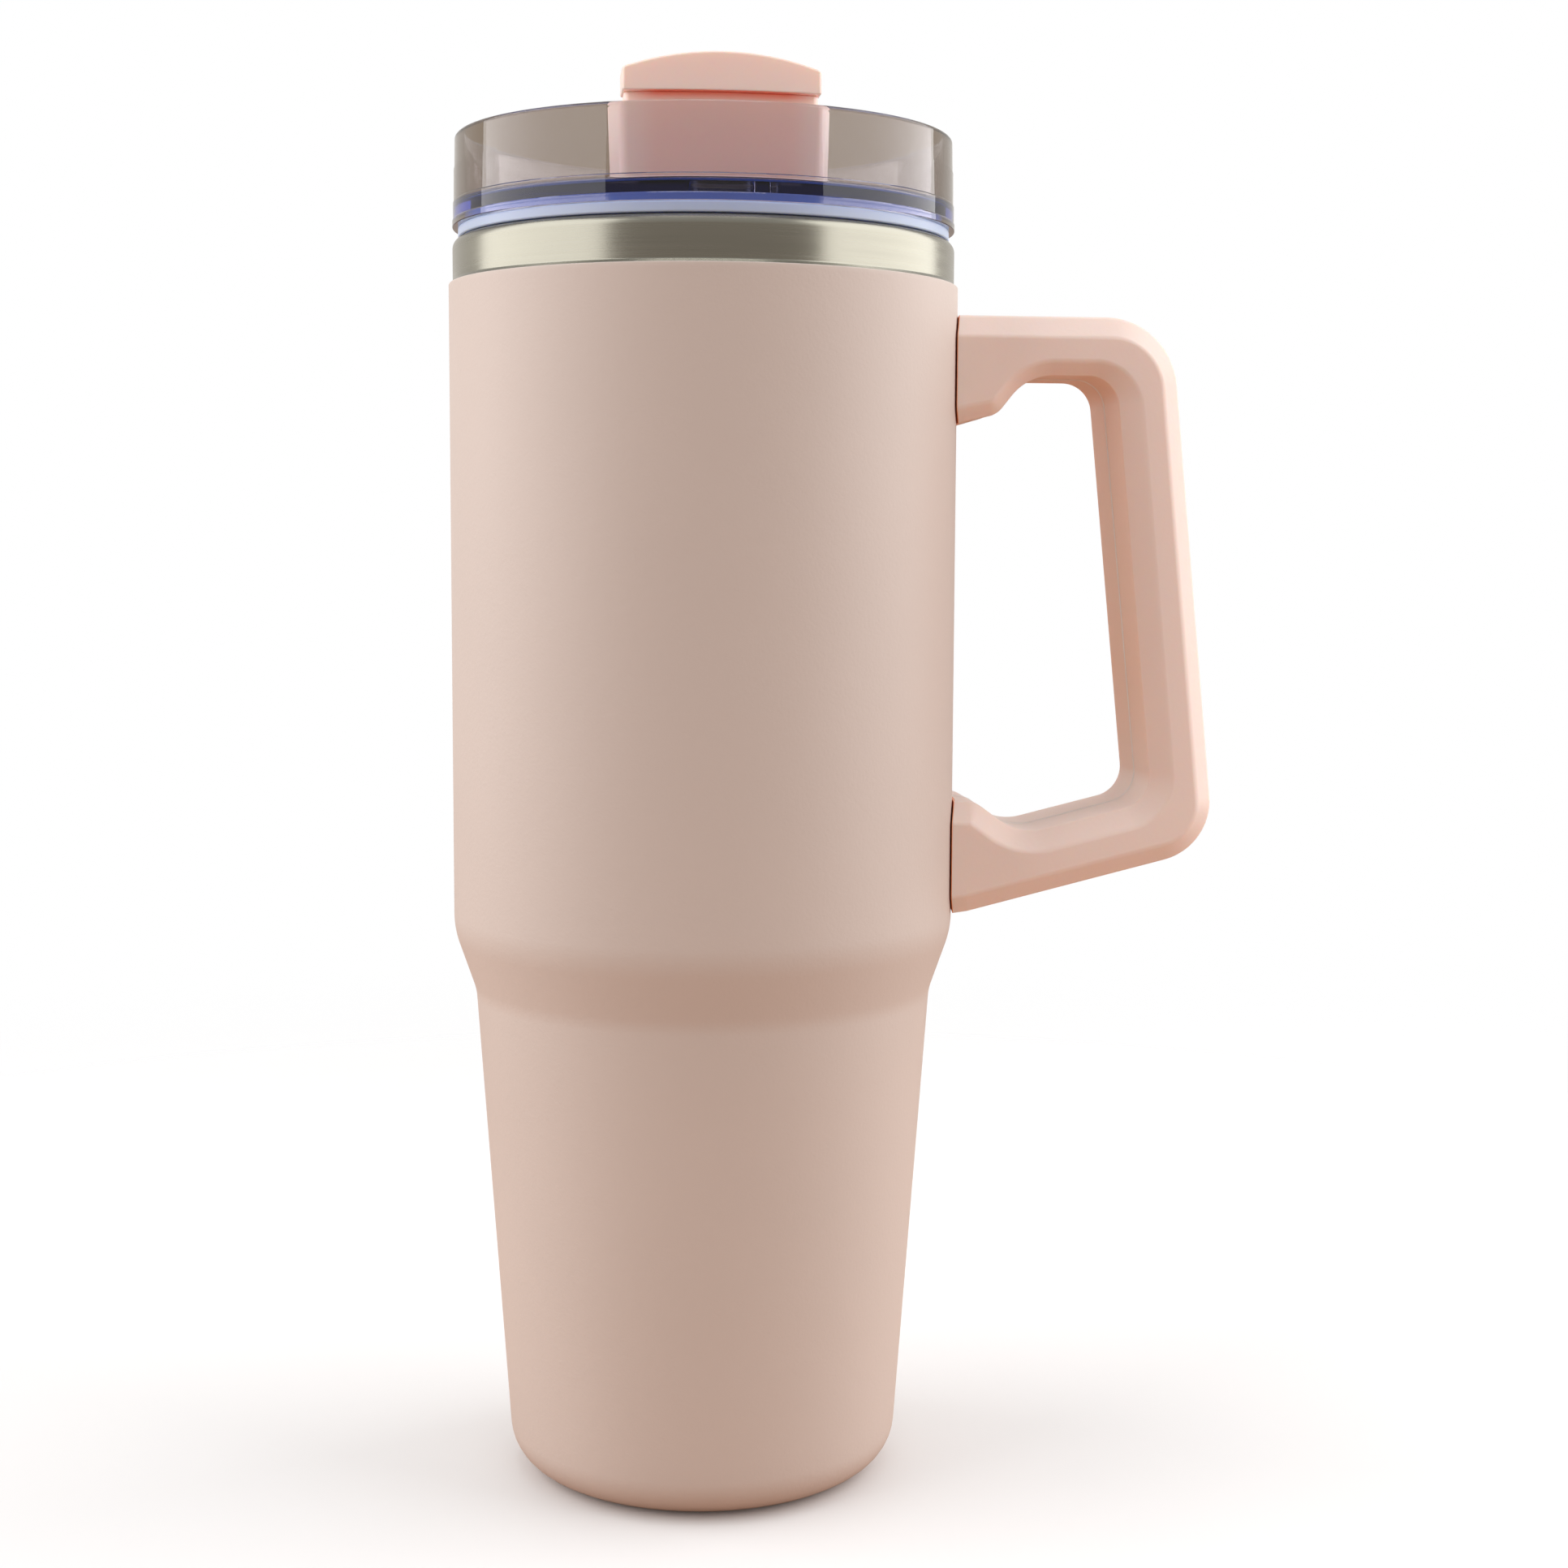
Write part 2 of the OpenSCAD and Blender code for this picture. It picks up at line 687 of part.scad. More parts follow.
// Saddle welded to the shell, with a flat tongue that reaches into the handle's root
module bracket(screw) {
    low = screw[1] - saddle_h / 2;
    difference() {
        union() {
            intersection() {
                translate([0, 0, low])
                    difference() {
                        cylinder(r = shell_r + saddle_t, h = saddle_h);
                        translate([0, 0, -1])
                            cylinder(r = shell_r, h = saddle_h + 2);
                    }
                translate([0, -saddle_w / 2, low - 1])
                    cube([body_r + 5, saddle_w, saddle_h + 2]);
            }
            translate([0, tongue_t / 2, 0])
                rotate([90, 0, 0])
                    linear_extrude(tongue_t) {
                        translate([shell_r + saddle_t / 2, screw[1] - tongue_r])
                            square([screw[0] - shell_r - saddle_t / 2, 2 * tongue_r]);
                        translate(screw)
                            circle(r = tongue_r);
                    }
        }
        bar_y(screw, -tongue_t, tongue_t, screw_r + fit_clearance);
    }
}

module upper_bracket() {
    color([0.7, 0.7, 0.7])
        bracket(upper_screw);
}

module lower_bracket() {
    color([0.7, 0.7, 0.7])
        bracket(lower_screw);
}

// The two pan-head screws that close the handle on the brackets
module handle_screws() {
    color([0.62, 0.62, 0.64])
        for (s = screws)
            difference() {
                union() {
                    bar_y(s, head_seat - screw_l, head_seat + eps, screw_r);
                    bar_y(s, head_seat, head_seat + head_h, head_r);
                }
                translate([s[0], head_seat + head_h + eps, s[1]])
                    rotate([90, 0, 0])
                        cylinder(r = 1.3, h = 1.2, $fn = 6);
            }
}

// Push-in plugs that hide the screws
module screw_plugs() {
    color([0.85, 0.74, 0.7])
        for (s = screws)
            bar_y(s, handle_w / 2 - screw_plug_t - 0.2, handle_w / 2 - 0.2, head_r);
}

// ---- lid ------------------------------------------------------------------------------

ridge_h = [1.2, 4.6, 11.1];
lid_corners = [
    [0, floor_z, 0],
    [flange_r, floor_z, 0],
    [flange_r, skirt_z, 0],
    [lid_r, skirt_z, 0],
    [lid_r, skirt_z + ridge_h[0], 0],
    [lid_r - lid_draft * 0.25, skirt_z + ridge_h[0] + 0.2, 0],
    [lid_r - lid_draft * 0.25, skirt_z + ridge_h[1], 0],
    [lid_r - lid_draft * 0.5, skirt_z + ridge_h[1] + 0.2, 0],
    [lid_r - lid_draft * 0.6, skirt_z + ridge_h[2], 0],
    [lid_r - lid_draft * 0.8, skirt_z + ridge_h[2] + 0.2, 0],
    [lid_r - lid_draft, lid_top, 0.7],
    [recess_r, lid_top, 0.7],
    [recess_r, floor_top, 1.2],
    [0, floor_top, 0]];

// A flat-sided slot with round ends along X, at the place y
module long_slot(y, z, length, width, height) {
    translate([0, y, z])
        linear_extrude(height) {
            square([length - width, width], center = true);
            for (side = [-1, 1])
                translate([side * (length - width) / 2, 0])
                    circle(d = width);
        }
}

// A plate along X with a round top at the hinge axis, for the lugs
module lug(x0) {
    translate([x0, 0, 0])
        rotate([90, 0, 90])
            linear_extrude(lug_t) {
                translate([hinge_y - lug_r, floor_z + lid_floor_t / 2])
                    square([2 * lug_r, hinge_z - floor_z - lid_floor_t / 2]);
                translate([hinge_y, hinge_z])
                    circle(r = lug_r);
            }
}

// A round bar along X on the hinge axis
module hinge_bar(length, r) {
    translate([-length / 2, hinge_y, hinge_z])
        rotate([0, 90, 0])
            cylinder(r = r, h = length);
}

lug_out = arm_in_w / 2 - lug_clearance;

// Clear cup with the recess floor, the drink slot, the air hole and the two hinge lugs
module lid_cup() {
    color([0.62, 0.58, 0.55, 0.5])
        difference() {
            union() {
                rotate_extrude()
                    polygon(outline(lid_corners));
                lug(lug_out - lug_t);
                lug(-lug_out);
            }
            long_slot(slot_y, floor_z - 1, slot_l, slot_w, lid_floor_t + 2);
            translate([air_hole_out, slot_y, floor_z - 1])
                cylinder(r = air_hole_r, h = lid_floor_t + 2);
            hinge_bar(arm_w, pin_r);
        }
}

// Blue plug ring bonded under the floor; it carries the gasket
module lid_plug() {
    flange = flange_r - fit_clearance;
    bead_r = plug_r + 0.6;
    color([0.18, 0.22, 0.5, 0.8])
        rotate_extrude()
            polygon([
                [plug_in_r, plug_bottom],
                [bead_r, plug_bottom],
                [bead_r, plug_bottom + plug_bead_h],
                [plug_r, plug_bottom + plug_bead_h],
                [plug_r, skirt_z],
                [flange, skirt_z],
                [flange, floor_z],
                [plug_in_r, floor_z]]);
}

// Silicone gasket: a flange over the rim and a sleeve with two lips inside the mouth
module lid_gasket() {
    lip_r = liner_r - seal_clearance;
    low = plug_bottom + plug_bead_h;
    flange_z = rim_top + rest_clearance;
    lip_at = [low + 1.5, low + 5];
    color([0.68, 0.74, 0.86])
        rotate_extrude()
            polygon(concat(
                [[plug_r, low], [sleeve_r, low]],
                [for (z = lip_at) each [
                    [sleeve_r, z],
                    [lip_r, z + 0.8],
                    [lip_r, z + 1.2],
                    [sleeve_r, z + 1.6]]],
                [[sleeve_r, flange_z],
                 [lid_r - gasket_in, flange_z],
                 [lid_r - gasket_in, skirt_z],
                 [plug_r, skirt_z]]));
}

// Steel pin pressed through both lugs
module hinge_pin() {
    color([0.7, 0.7, 0.72])
        hinge_bar(arm_w - 0.6, pin_r);
}

// ---- flip cover -----------------------------------------------------------------------

// Plan of the front block: wider at the back, with a gently curved front, inset by trim
module tab_plan(front_trim, side_trim, back_trim) {
    intersection() {
        polygon([
            [side_trim - tab_front_w / 2, tab_front],
            [tab_front_w / 2 - side_trim, tab_front],
            [tab_back_w / 2 - side_trim, tab_back - back_trim],
            [side_trim - tab_back_w / 2, tab_back - back_trim]]);
        translate([0, tab_front + front_trim + tab_front_r])
            circle(r = tab_front_r, $fn = 360);
    }
}

// A shape drawn in the Y-Z plane, made w wide along X
module along_x(w) {
    rotate([90, 0, 90])
        linear_extrude(w, center = true)
            children();
}

// Front block with the finger groove and the crowned cap, whose sides run straight back
module tab_block() {
    translate([0, 0, cover_z])
        linear_extrude(groove_z - cover_z)
            tab_plan(0, 0, 0);
    translate([0, 0, groove_z])
        linear_extrude(groove_h)
            tab_plan(groove_depth, groove_side + cap_side_in, 0);
    intersection() {
        translate([0, 0, cap_z])
            linear_extrude(cap_h)
                intersection() {
                    tab_plan(0, cap_side_in, 0);
                    translate([cap_side_in - tab_front_w / 2, tab_front])
                        square([tab_front_w - 2 * cap_side_in, tab_depth]);
                }
        translate([0, tab_front - 1, cap_top - cap_crown_r])
            rotate([-90, 0, 0])
                cylinder(r = cap_crown_r, h = tab_depth + 2, $fn = 240);
    }
}

// Pink cover: front block and arm, hollow from below and open behind the hinge
module flip_cover() {
    roof_front = hinge_z + arm_roof_front;
    roof_rear = hinge_z + arm_roof;
    inside_front = tab_back - 3;
    past_rear = hinge_y + arm_roof + 1;
    color([0.88, 0.74, 0.69])
        difference() {
            union() {
                tab_block();
                along_x(arm_w) {
                    polygon([
                        [tab_back - 1, arm_z],
                        [hinge_y, arm_z],
                        [hinge_y, roof_rear],
                        [tab_back - 1, roof_front]]);
                    translate([hinge_y, hinge_z])
                        circle(r = arm_roof);
                }
            }
            translate([0, 0, cover_z - 1])
                linear_extrude(groove_z - cover_z - cover_wall + 1)
                    tab_plan(cover_wall, cover_wall, 1.6);
            along_x(arm_in_w)
                polygon([
                    [inside_front, cover_z - 1],
                    [past_rear, cover_z - 1],
                    [past_rear, roof_front],
                    [hinge_y, roof_front],
                    [hinge_y, roof_rear - cover_wall],
                    [inside_front, roof_front - cover_wall]]);
            hinge_bar(arm_w + 2, pin_r + pin_clearance);
        }
}

stem_r = 1.5;
stem_out = 4.2;
pad_l = 2 * (air_hole_out + air_hole_r + 2.2);

// How far the curved front face falls back at the distance x from the middle
function front_sag(x) = tab_front_r - sqrt(tab_front_r * tab_front_r - x * x);

// Plate fixed between the cover's side walls; it carries the stopper
module cover_insert() {
    front = tab_front + cover_wall + front_sag(arm_in_w / 2) + 2 * fit_clearance;
    color([0.9, 0.88, 0.86])
        difference() {
            translate([-arm_in_w / 2, front, insert_z])
                cube([arm_in_w, tab_depth + 8, insert_t]);
            for (side = [-1, 1])
                translate([side * stem_out, slot_y, insert_z - 1])
                    cylinder(r = stem_r, h = insert_t + 2);
        }
}

// Silicone stopper: a pad over the drink slot and the air hole, on two stems
module drink_stopper() {
    color([0.9, 0.86, 0.84])
        union() {
            long_slot(slot_y, pad_z, pad_l, slot_w + 2 * pad_lap, insert_z - pad_z);
            for (side = [-1, 1])
                translate([side * stem_out, slot_y, insert_z - eps]) {
                    cylinder(r = stem_r, h = insert_t + 0.8);
                    translate([0, 0, insert_t + eps])
                        cylinder(r = stem_r + 0.6, h = 0.8);
                }
        }
}

outer_shell();
powder_coat();
outer_bottom();
base_cover();
vacuum_seal_bead();
liner_wall();
liner_bottom();
radiation_foil();
getter();
upper_bracket();
lower_bracket();
handle_front_half();
handle_rear_half();
handle_screws();
screw_plugs();
lid_cup();
lid_plug();
lid_gasket();
hinge_pin();
flip_cover();
cover_insert();
drink_stopper();
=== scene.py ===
"""Looks for a vacuum-insulated tumbler with a side handle and a clear lid with a flip cover."""

from math import cos, pi, radians, sin, tan

import bmesh
import bpy
import numpy as np
from mathutils import Matrix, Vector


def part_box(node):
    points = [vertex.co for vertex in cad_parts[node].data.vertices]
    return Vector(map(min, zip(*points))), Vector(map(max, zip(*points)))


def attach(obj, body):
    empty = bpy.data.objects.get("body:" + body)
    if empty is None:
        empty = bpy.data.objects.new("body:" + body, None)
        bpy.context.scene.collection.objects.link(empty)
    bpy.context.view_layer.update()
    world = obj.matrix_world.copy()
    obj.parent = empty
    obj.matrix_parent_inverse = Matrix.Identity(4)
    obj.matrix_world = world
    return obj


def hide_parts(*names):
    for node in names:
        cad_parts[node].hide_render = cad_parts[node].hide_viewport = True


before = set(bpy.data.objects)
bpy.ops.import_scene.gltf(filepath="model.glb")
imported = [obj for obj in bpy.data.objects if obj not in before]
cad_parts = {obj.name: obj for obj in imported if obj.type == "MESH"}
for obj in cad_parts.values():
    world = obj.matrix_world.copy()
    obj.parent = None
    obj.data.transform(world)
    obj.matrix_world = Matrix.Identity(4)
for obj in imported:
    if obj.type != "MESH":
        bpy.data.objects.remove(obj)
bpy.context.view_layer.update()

# ---- Powder-coated body ------------------------------------------------------------------------
# The pink coat is sprayed on the drawn steel shell and baked. It runs from the foot, up the narrow
# tapered base and the sloping shoulder, to a masked edge just below the mouth.

mm = 0.001


def span(node):
    """Lowest and highest corner of a CAD node at rest, in millimetres."""
    low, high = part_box(node)
    return np.array(low) / mm, np.array(high) / mm


def arc(p, u, v, s, steps):
    """The bend at p between the unit directions u in and v out, from p - s u to p + s v: the rational
    quadratic curve with middle weight cos(turn / 2), which is a circular arc."""
    t = np.linspace(0, 1, steps + 1)[:, None]
    w = np.sqrt((1 + (u * v).sum(-1, keepdims=True)) / 2)[..., None]
    k0, k1, k2 = (1 - t) ** 2, 2 * t * (1 - t) * w, t**2
    a, b = (p - s * u)[..., None, :], (p + s * v)[..., None, :]
    return (k0 * a + k1 * p[..., None, :] + k2 * b) / (k0 + k1 + k2)


def rounded(corners, radii, steps=10):
    """Outlines whose corners become arcs of the given radii, each starting r tan(turn / 2) before its
    corner. corners is (..., n, 2 or 3), and radius 0 keeps the corner."""
    corners = np.asarray(corners, float)
    count = corners.shape[-2]
    parts = []
    for i, r in enumerate(radii):
        p = corners[..., i, :]
        if r == 0:
            parts.append(p[..., None, :])
            continue
        u = p - corners[..., i - 1, :]
        v = corners[..., (i + 1) % count, :] - p
        u = u / np.linalg.norm(u, axis=-1, keepdims=True)
        v = v / np.linalg.norm(v, axis=-1, keepdims=True)
        c = (u * v).sum(-1, keepdims=True)
        parts.append(arc(p, u, v, r * np.sqrt((1 - c) / (1 + c)), steps))
    return np.concatenate(parts, axis=-2)


def offset(corners, distance):
    """Corners [r, z, radius] moved to the left of their direction of travel, each to the meeting of
    its two moved sides; a left turn loses the distance from its radius and a right turn gains it."""
    corners = np.asarray(corners, float)
    p = corners[:, :2]
    d = np.diff(p, axis=0)
    d /= np.linalg.norm(d, axis=1, keepdims=True)
    d_in, d_out = np.vstack([d[:1], d]), np.vstack([d, d[-1:]])
    n_in, n_out = d_in[:, ::-1] * [-1, 1], d_out[:, ::-1] * [-1, 1]
    moved = p + distance * (n_in + n_out) / (1 + (n_in * n_out).sum(1, keepdims=True))
    turn = np.sign(d_in[:, 0] * d_out[:, 1] - d_in[:, 1] * d_out[:, 0])
    radius = np.where(corners[:, 2] > 0, np.maximum(corners[:, 2] - turn * distance, 0.01), 0)
    return np.column_stack([moved, radius])


def line_of(corners):
    """The outline of [r, z, radius] corners, with its arcs."""
    corners = np.asarray(corners, float)
    return rounded(corners[:, :2], corners[:, 2])


def dense(line, longest):
    """The same outline with extra points, so that no straight run is longer than longest."""
    parts = []
    for a, b in zip(line[:-1], line[1:]):
        count = max(1, int(np.ceil(np.linalg.norm(b - a) / longest)))
        parts.append(np.linspace(a, b, count, endpoint=False))
    return np.vstack(parts + [line[-1:]])


def mesh_piece(name, points, quads, uv=None, caps=()):
    """A mesh object from points in millimetres, with its doubles merged and its faces turned outwards."""
    mesh = bpy.data.meshes.new(name)
    mesh.from_pydata((points * mm).tolist(), [], quads.tolist() + [c.tolist() for c in caps])
    if uv is not None:
        layer = mesh.uv_layers.new(name="UVMap")
        values = np.zeros((len(mesh.loops), 2), np.float32)
        values[: len(uv)] = uv
        layer.data.foreach_set("uv", values.ravel())
    surface = bmesh.new()
    surface.from_mesh(mesh)
    bmesh.ops.remove_doubles(surface, verts=surface.verts, dist=1e-7)
    bmesh.ops.recalc_face_normals(surface, faces=surface.faces)
    surface.to_mesh(mesh)
    surface.free()
    piece = bpy.data.objects.new(name, mesh)
    bpy.context.scene.collection.objects.link(piece)
    return piece


def spun(name, line, closed=True, turns=192):
    """Surface of revolution: point (i, j) is (r_i cos a_j, r_i sin a_j, z_i), and a_j goes once round
    the axis. The UV map is (arc length at the largest radius, length along the line), in metres."""
    if closed:
        line = np.vstack([line, line[:1]])
    angle = np.linspace(0, 2 * pi, turns, endpoint=False)
    r, z = line[:, :1], line[:, 1:]
    points = np.stack([r * np.cos(angle), r * np.sin(angle), z + 0 * angle], -1).reshape(-1, 3)
    i, j = np.meshgrid(np.arange(len(line) - 1), np.arange(turns), indexing="ij")
    i, j = i.ravel(), j.ravel()
    after = (j + 1) % turns
    quads = np.column_stack([i * turns + j, i * turns + after, (i + 1) * turns + after, (i + 1) * turns + j])
    along = np.concatenate([[0], np.cumsum(np.linalg.norm(np.diff(line, axis=0), axis=1))])
    u = np.column_stack([j, j + 1, j + 1, j]) * 2 * pi / turns * line[:, 0].max()
    v = np.column_stack([along[i], along[i], along[i + 1], along[i + 1]])
    return mesh_piece(name, points, quads, (np.stack([u, v], -1) * mm).reshape(-1, 2))


def smooth(piece, sharp=32, weighted=False):
    """Smooth shading that keeps edges over the sharp angle, in degrees, crisp."""
    piece.data.shade_smooth()
    piece.data.set_sharp_from_angle(angle=radians(sharp))
    if weighted:
        keep = piece.modifiers.new("flat faces stay flat", "WEIGHTED_NORMAL")
        keep.keep_sharp = True
    return piece


def group(name, inputs, outputs):
    """An empty shader group with the named sockets; returns its tree, its input and its output node."""
    tree = bpy.data.node_groups.new(name, "ShaderNodeTree")
    kinds = {"Color": "NodeSocketColor", "Vector": "NodeSocketVector"}
    for label, value in inputs.items():
        kind = kinds.get(label, "NodeSocketFloat")
        socket = tree.interface.new_socket(name=label, in_out="INPUT", socket_type=kind)
        if value is not None:
            socket.default_value = value
    for label in outputs:
        kind = kinds.get(label, "NodeSocketFloat")
        tree.interface.new_socket(name=label, in_out="OUTPUT", socket_type=kind)
    return tree, tree.nodes.new("NodeGroupInput"), tree.nodes.new("NodeGroupOutput")


def feed(tree, socket, value):
    """Gives a node's socket its value: a link from another socket, or plain numbers."""
    if isinstance(value, bpy.types.NodeSocket):
        tree.links.new(value, socket)
    else:
        socket.default_value = value


def noise(tree, vector, scale, detail=2.0):
    """A noise texture; vector is a socket, and scale a number or a socket. Returns its Fac output."""
    texture = tree.nodes.new("ShaderNodeTexNoise")
    texture.inputs["Detail"].default_value = detail
    feed(tree, texture.inputs["Vector"], vector)
    feed(tree, texture.inputs["Scale"], scale)
    return texture.outputs["Fac"]


def calc(tree, operation, *values):
    """A math node; each value is a number or a socket. Returns its output."""
    node = tree.nodes.new("ShaderNodeMath")
    node.operation = operation
    for socket, value in zip(node.inputs, values):
        feed(tree, socket, value)
    return node.outputs[0]


def scaled(tree, vector, by):
    """The vector with each part times its own number."""
    node = tree.nodes.new("ShaderNodeVectorMath")
    node.operation = "MULTIPLY"
    feed(tree, node.inputs[0], vector)
    feed(tree, node.inputs[1], by)
    return node.outputs[0]


def times(tree, colour, by):
    """The colour, plain or a socket, times the one number in the socket by."""
    node = tree.nodes.new("ShaderNodeVectorMath")
    node.operation = "SCALE"
    feed(tree, node.inputs[0], colour)
    feed(tree, node.inputs["Scale"], by)
    return node.outputs[0]


def object_place(tree):
    """The place on the piece, in metres, as a socket."""
    return tree.nodes.new("ShaderNodeTexCoord").outputs["Object"]


def make_mottle():
    """Group: slow brightness change over the surface, 1 - change to 1 + change times the colour."""
    inputs = {"Vector": None, "Color": None, "Scale": 30.0, "Change": 0.03}
    tree, given, made = group("mottle", inputs, ["Color"])
    field = noise(tree, given.outputs["Vector"], given.outputs["Scale"], 4.0)
    swing = calc(tree, "MULTIPLY", calc(tree, "SUBTRACT", field, 0.5), 4.0)
    factor = calc(tree, "MULTIPLY_ADD", swing, given.outputs["Change"], 1.0)
    tree.links.new(times(tree, given.outputs["Color"], factor), made.inputs["Color"])
    return tree


def make_grain():
    """Group: fine moulded or sprayed grain. Height is two sizes of noise added, and Roughness
    wanders slowly round the given value."""
    inputs = {"Vector": None, "Scale": 1400.0, "Roughness": 0.5, "Change": 0.06}
    tree, given, made = group("grain", inputs, ["Height", "Roughness"])
    at, scale = given.outputs["Vector"], given.outputs["Scale"]
    fine = noise(tree, at, scale, 3.0)
    broad = noise(tree, at, calc(tree, "MULTIPLY", scale, 0.3), 1.0)
    tree.links.new(calc(tree, "MULTIPLY_ADD", broad, 0.6, fine), made.inputs["Height"])
    slow = noise(tree, at, calc(tree, "MULTIPLY", scale, 0.03), 3.0)
    swing = calc(tree, "MULTIPLY", calc(tree, "SUBTRACT", slow, 0.5), 2.0)
    rough = calc(tree, "MULTIPLY_ADD", swing, given.outputs["Change"], given.outputs["Roughness"])
    tree.links.new(rough, made.inputs["Roughness"])
    return tree


def make_specks():
    """Group: a few tiny round specks. A cell holds one when its random number is under Share."""
    inputs = {"Vector": None, "Scale": 150.0, "Share": 0.05, "Size": 0.1}
    tree, given, made = group("specks", inputs, ["Mask"])
    cells = tree.nodes.new("ShaderNodeTexVoronoi")
    tree.links.new(given.outputs["Vector"], cells.inputs["Vector"])
    tree.links.new(given.outputs["Scale"], cells.inputs["Scale"])
    split = tree.nodes.new("ShaderNodeSeparateColor")
    tree.links.new(cells.outputs["Color"], split.inputs[0])
    chosen = calc(tree, "LESS_THAN", split.outputs[0], given.outputs["Share"])
    size = calc(tree, "MULTIPLY", given.outputs["Size"], split.outputs[1])
    near = calc(tree, "LESS_THAN", cells.outputs["Distance"], size)
    tree.links.new(calc(tree, "MULTIPLY", chosen, near), made.inputs["Mask"])
    return tree


mottle, grain, specks = make_mottle(), make_grain(), make_specks()


def place(tree, node_group, **values):
    """A group node; each value is a number, a colour or a socket. Returns its outputs."""
    node = tree.nodes.new("ShaderNodeGroup")
    node.node_tree = node_group
    for label, value in values.items():
        feed(tree, node.inputs[label], value)
    return node.outputs


def shader(name, **values):
    """A material with one Principled shader, whose plain sockets are set by name, with _ for a space."""
    material = bpy.data.materials.new(name)
    material.use_nodes = True
    principled = material.node_tree.nodes["Principled BSDF"]
    for label, value in values.items():
        principled.inputs[label.replace("_", " ")].default_value = value
    return material, material.node_tree, principled


def bump(tree, principled, height, depth):
    """Feeds the shader's normal from a height of 0 to 1 that stands for depth, in metres."""
    node = tree.nodes.new("ShaderNodeBump")
    node.inputs["Distance"].default_value = depth
    tree.links.new(height, node.inputs["Height"])
    tree.links.new(node.outputs[0], principled.inputs["Normal"])


def moulded(name, colour, roughness, grain_scale, grain_depth, change=0.03, **values):
    """A plastic, rubber or paint: its colour mottled, its roughness and relief from the grain group."""
    material, tree, principled = shader(name, **values)
    at = object_place(tree)
    tone = place(tree, mottle, Vector=at, Color=(*colour, 1), Scale=28.0, Change=change)
    relief = place(tree, grain, Vector=at, Scale=grain_scale, Roughness=roughness, Change=0.05)
    tree.links.new(tone["Color"], principled.inputs["Base Color"])
    tree.links.new(relief["Roughness"], principled.inputs["Roughness"])
    bump(tree, principled, relief["Height"], grain_depth)
    return material


def dress(piece, material):
    """Gives the piece this one material in place of any it has."""
    piece.data.materials.clear()
    piece.data.materials.append(material)


_, coat_high = span("powder_coat")
_, shell_high = span("outer_shell")
body_r, coat_top, rim_top = coat_high[0], coat_high[2], shell_high[2]
base_h, shoulder_h, shoulder_out, base_taper = 98.0, 12.4, 4.3, radians(4.06)
waist_r = body_r - shoulder_out
foot_r = waist_r - base_h * tan(base_taper)
foot_corner_r, waist_blend_r, shoulder_blend_r = 9.0, 12.0, 18.0
coat_t = 0.25
coat_end_r = foot_r - foot_corner_r - 0.5
coat_edge_r, facet = coat_t * 0.9, 4.0
shoulder_top = base_h + shoulder_h
coat_edge = [[body_r, coat_top - 1], [body_r, coat_top], [body_r - coat_t, coat_top]]
body_corners = np.array([
    [coat_end_r, 0, 0],
    [foot_r, 0, foot_corner_r],
    [waist_r, base_h, waist_blend_r],
    [body_r, shoulder_top, shoulder_blend_r],
    [body_r, coat_top, 0],
])
coat_line = np.vstack([
    dense(line_of(body_corners), facet)[:-1],
    rounded(coat_edge, [0, coat_edge_r, 0], 4),
    dense(line_of(offset(body_corners, coat_t)), facet)[::-1],
])
coat = smooth(spun("powder_coat_skin", coat_line))
coat_pink = (0.63, 0.545, 0.495)
coat_paint = moulded("sprayed pink coat", coat_pink, 0.50, 1500.0, 0.000035, 0.012)
dress(coat, coat_paint)
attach(coat, "tumbler")
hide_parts("powder_coat")

# ---- Outer shell -------------------------------------------------------------------------------
# Drawn stainless steel, half a millimetre thick. Its top is rolled in and left bare as a band that
# is brushed round the axis, and the rim is welded to the liner and polished round.

shell_t, band_in, liner_in = 0.5, 0.55, 3.35
band_r = shell_high[0] - band_in
rim_outer_r, rim_inner_r, lip_w = 2.0, 0.8, 2.2
liner_t = 0.45
liner_r = body_r - liner_in - liner_t
rim_mid_r = liner_r + rim_inner_r + 0.1
shell_side = offset(body_corners, coat_t)
shell_corners = np.array([
    [coat_end_r - lip_w, 0, 0],
    [coat_end_r, 0, 0],
    [coat_end_r, coat_t, 0],
    *shell_side[1:4],
    [shell_high[0], coat_top, 0],
    [band_r, coat_top + band_in, 0.4],
    [band_r, rim_top, rim_outer_r],
    [rim_mid_r, rim_top, 0],
])


def make_brushing():
    """Group: brush lines along the first UV axis. Height is noise drawn out nearly 300 times along
    the lines, and Streak is a broader copy, drawn out 50 times, for colour and roughness."""
    tree, given, made = group("brushing", {"Vector": None, "Scale": 4000.0}, ["Height", "Streak"])
    at, fine_draw, broad_draw = given.outputs["Vector"], 0.0035, 0.02
    fine = noise(tree, scaled(tree, at, (fine_draw, 1.0, 1.0)), given.outputs["Scale"], 3.0)
    tree.links.new(fine, made.inputs["Height"])
    broad = noise(tree, scaled(tree, at, (broad_draw, 1.0, 1.0)), 700.0, 4.0)
    tree.links.new(broad, made.inputs["Streak"])
    return tree


brushing = make_brushing()


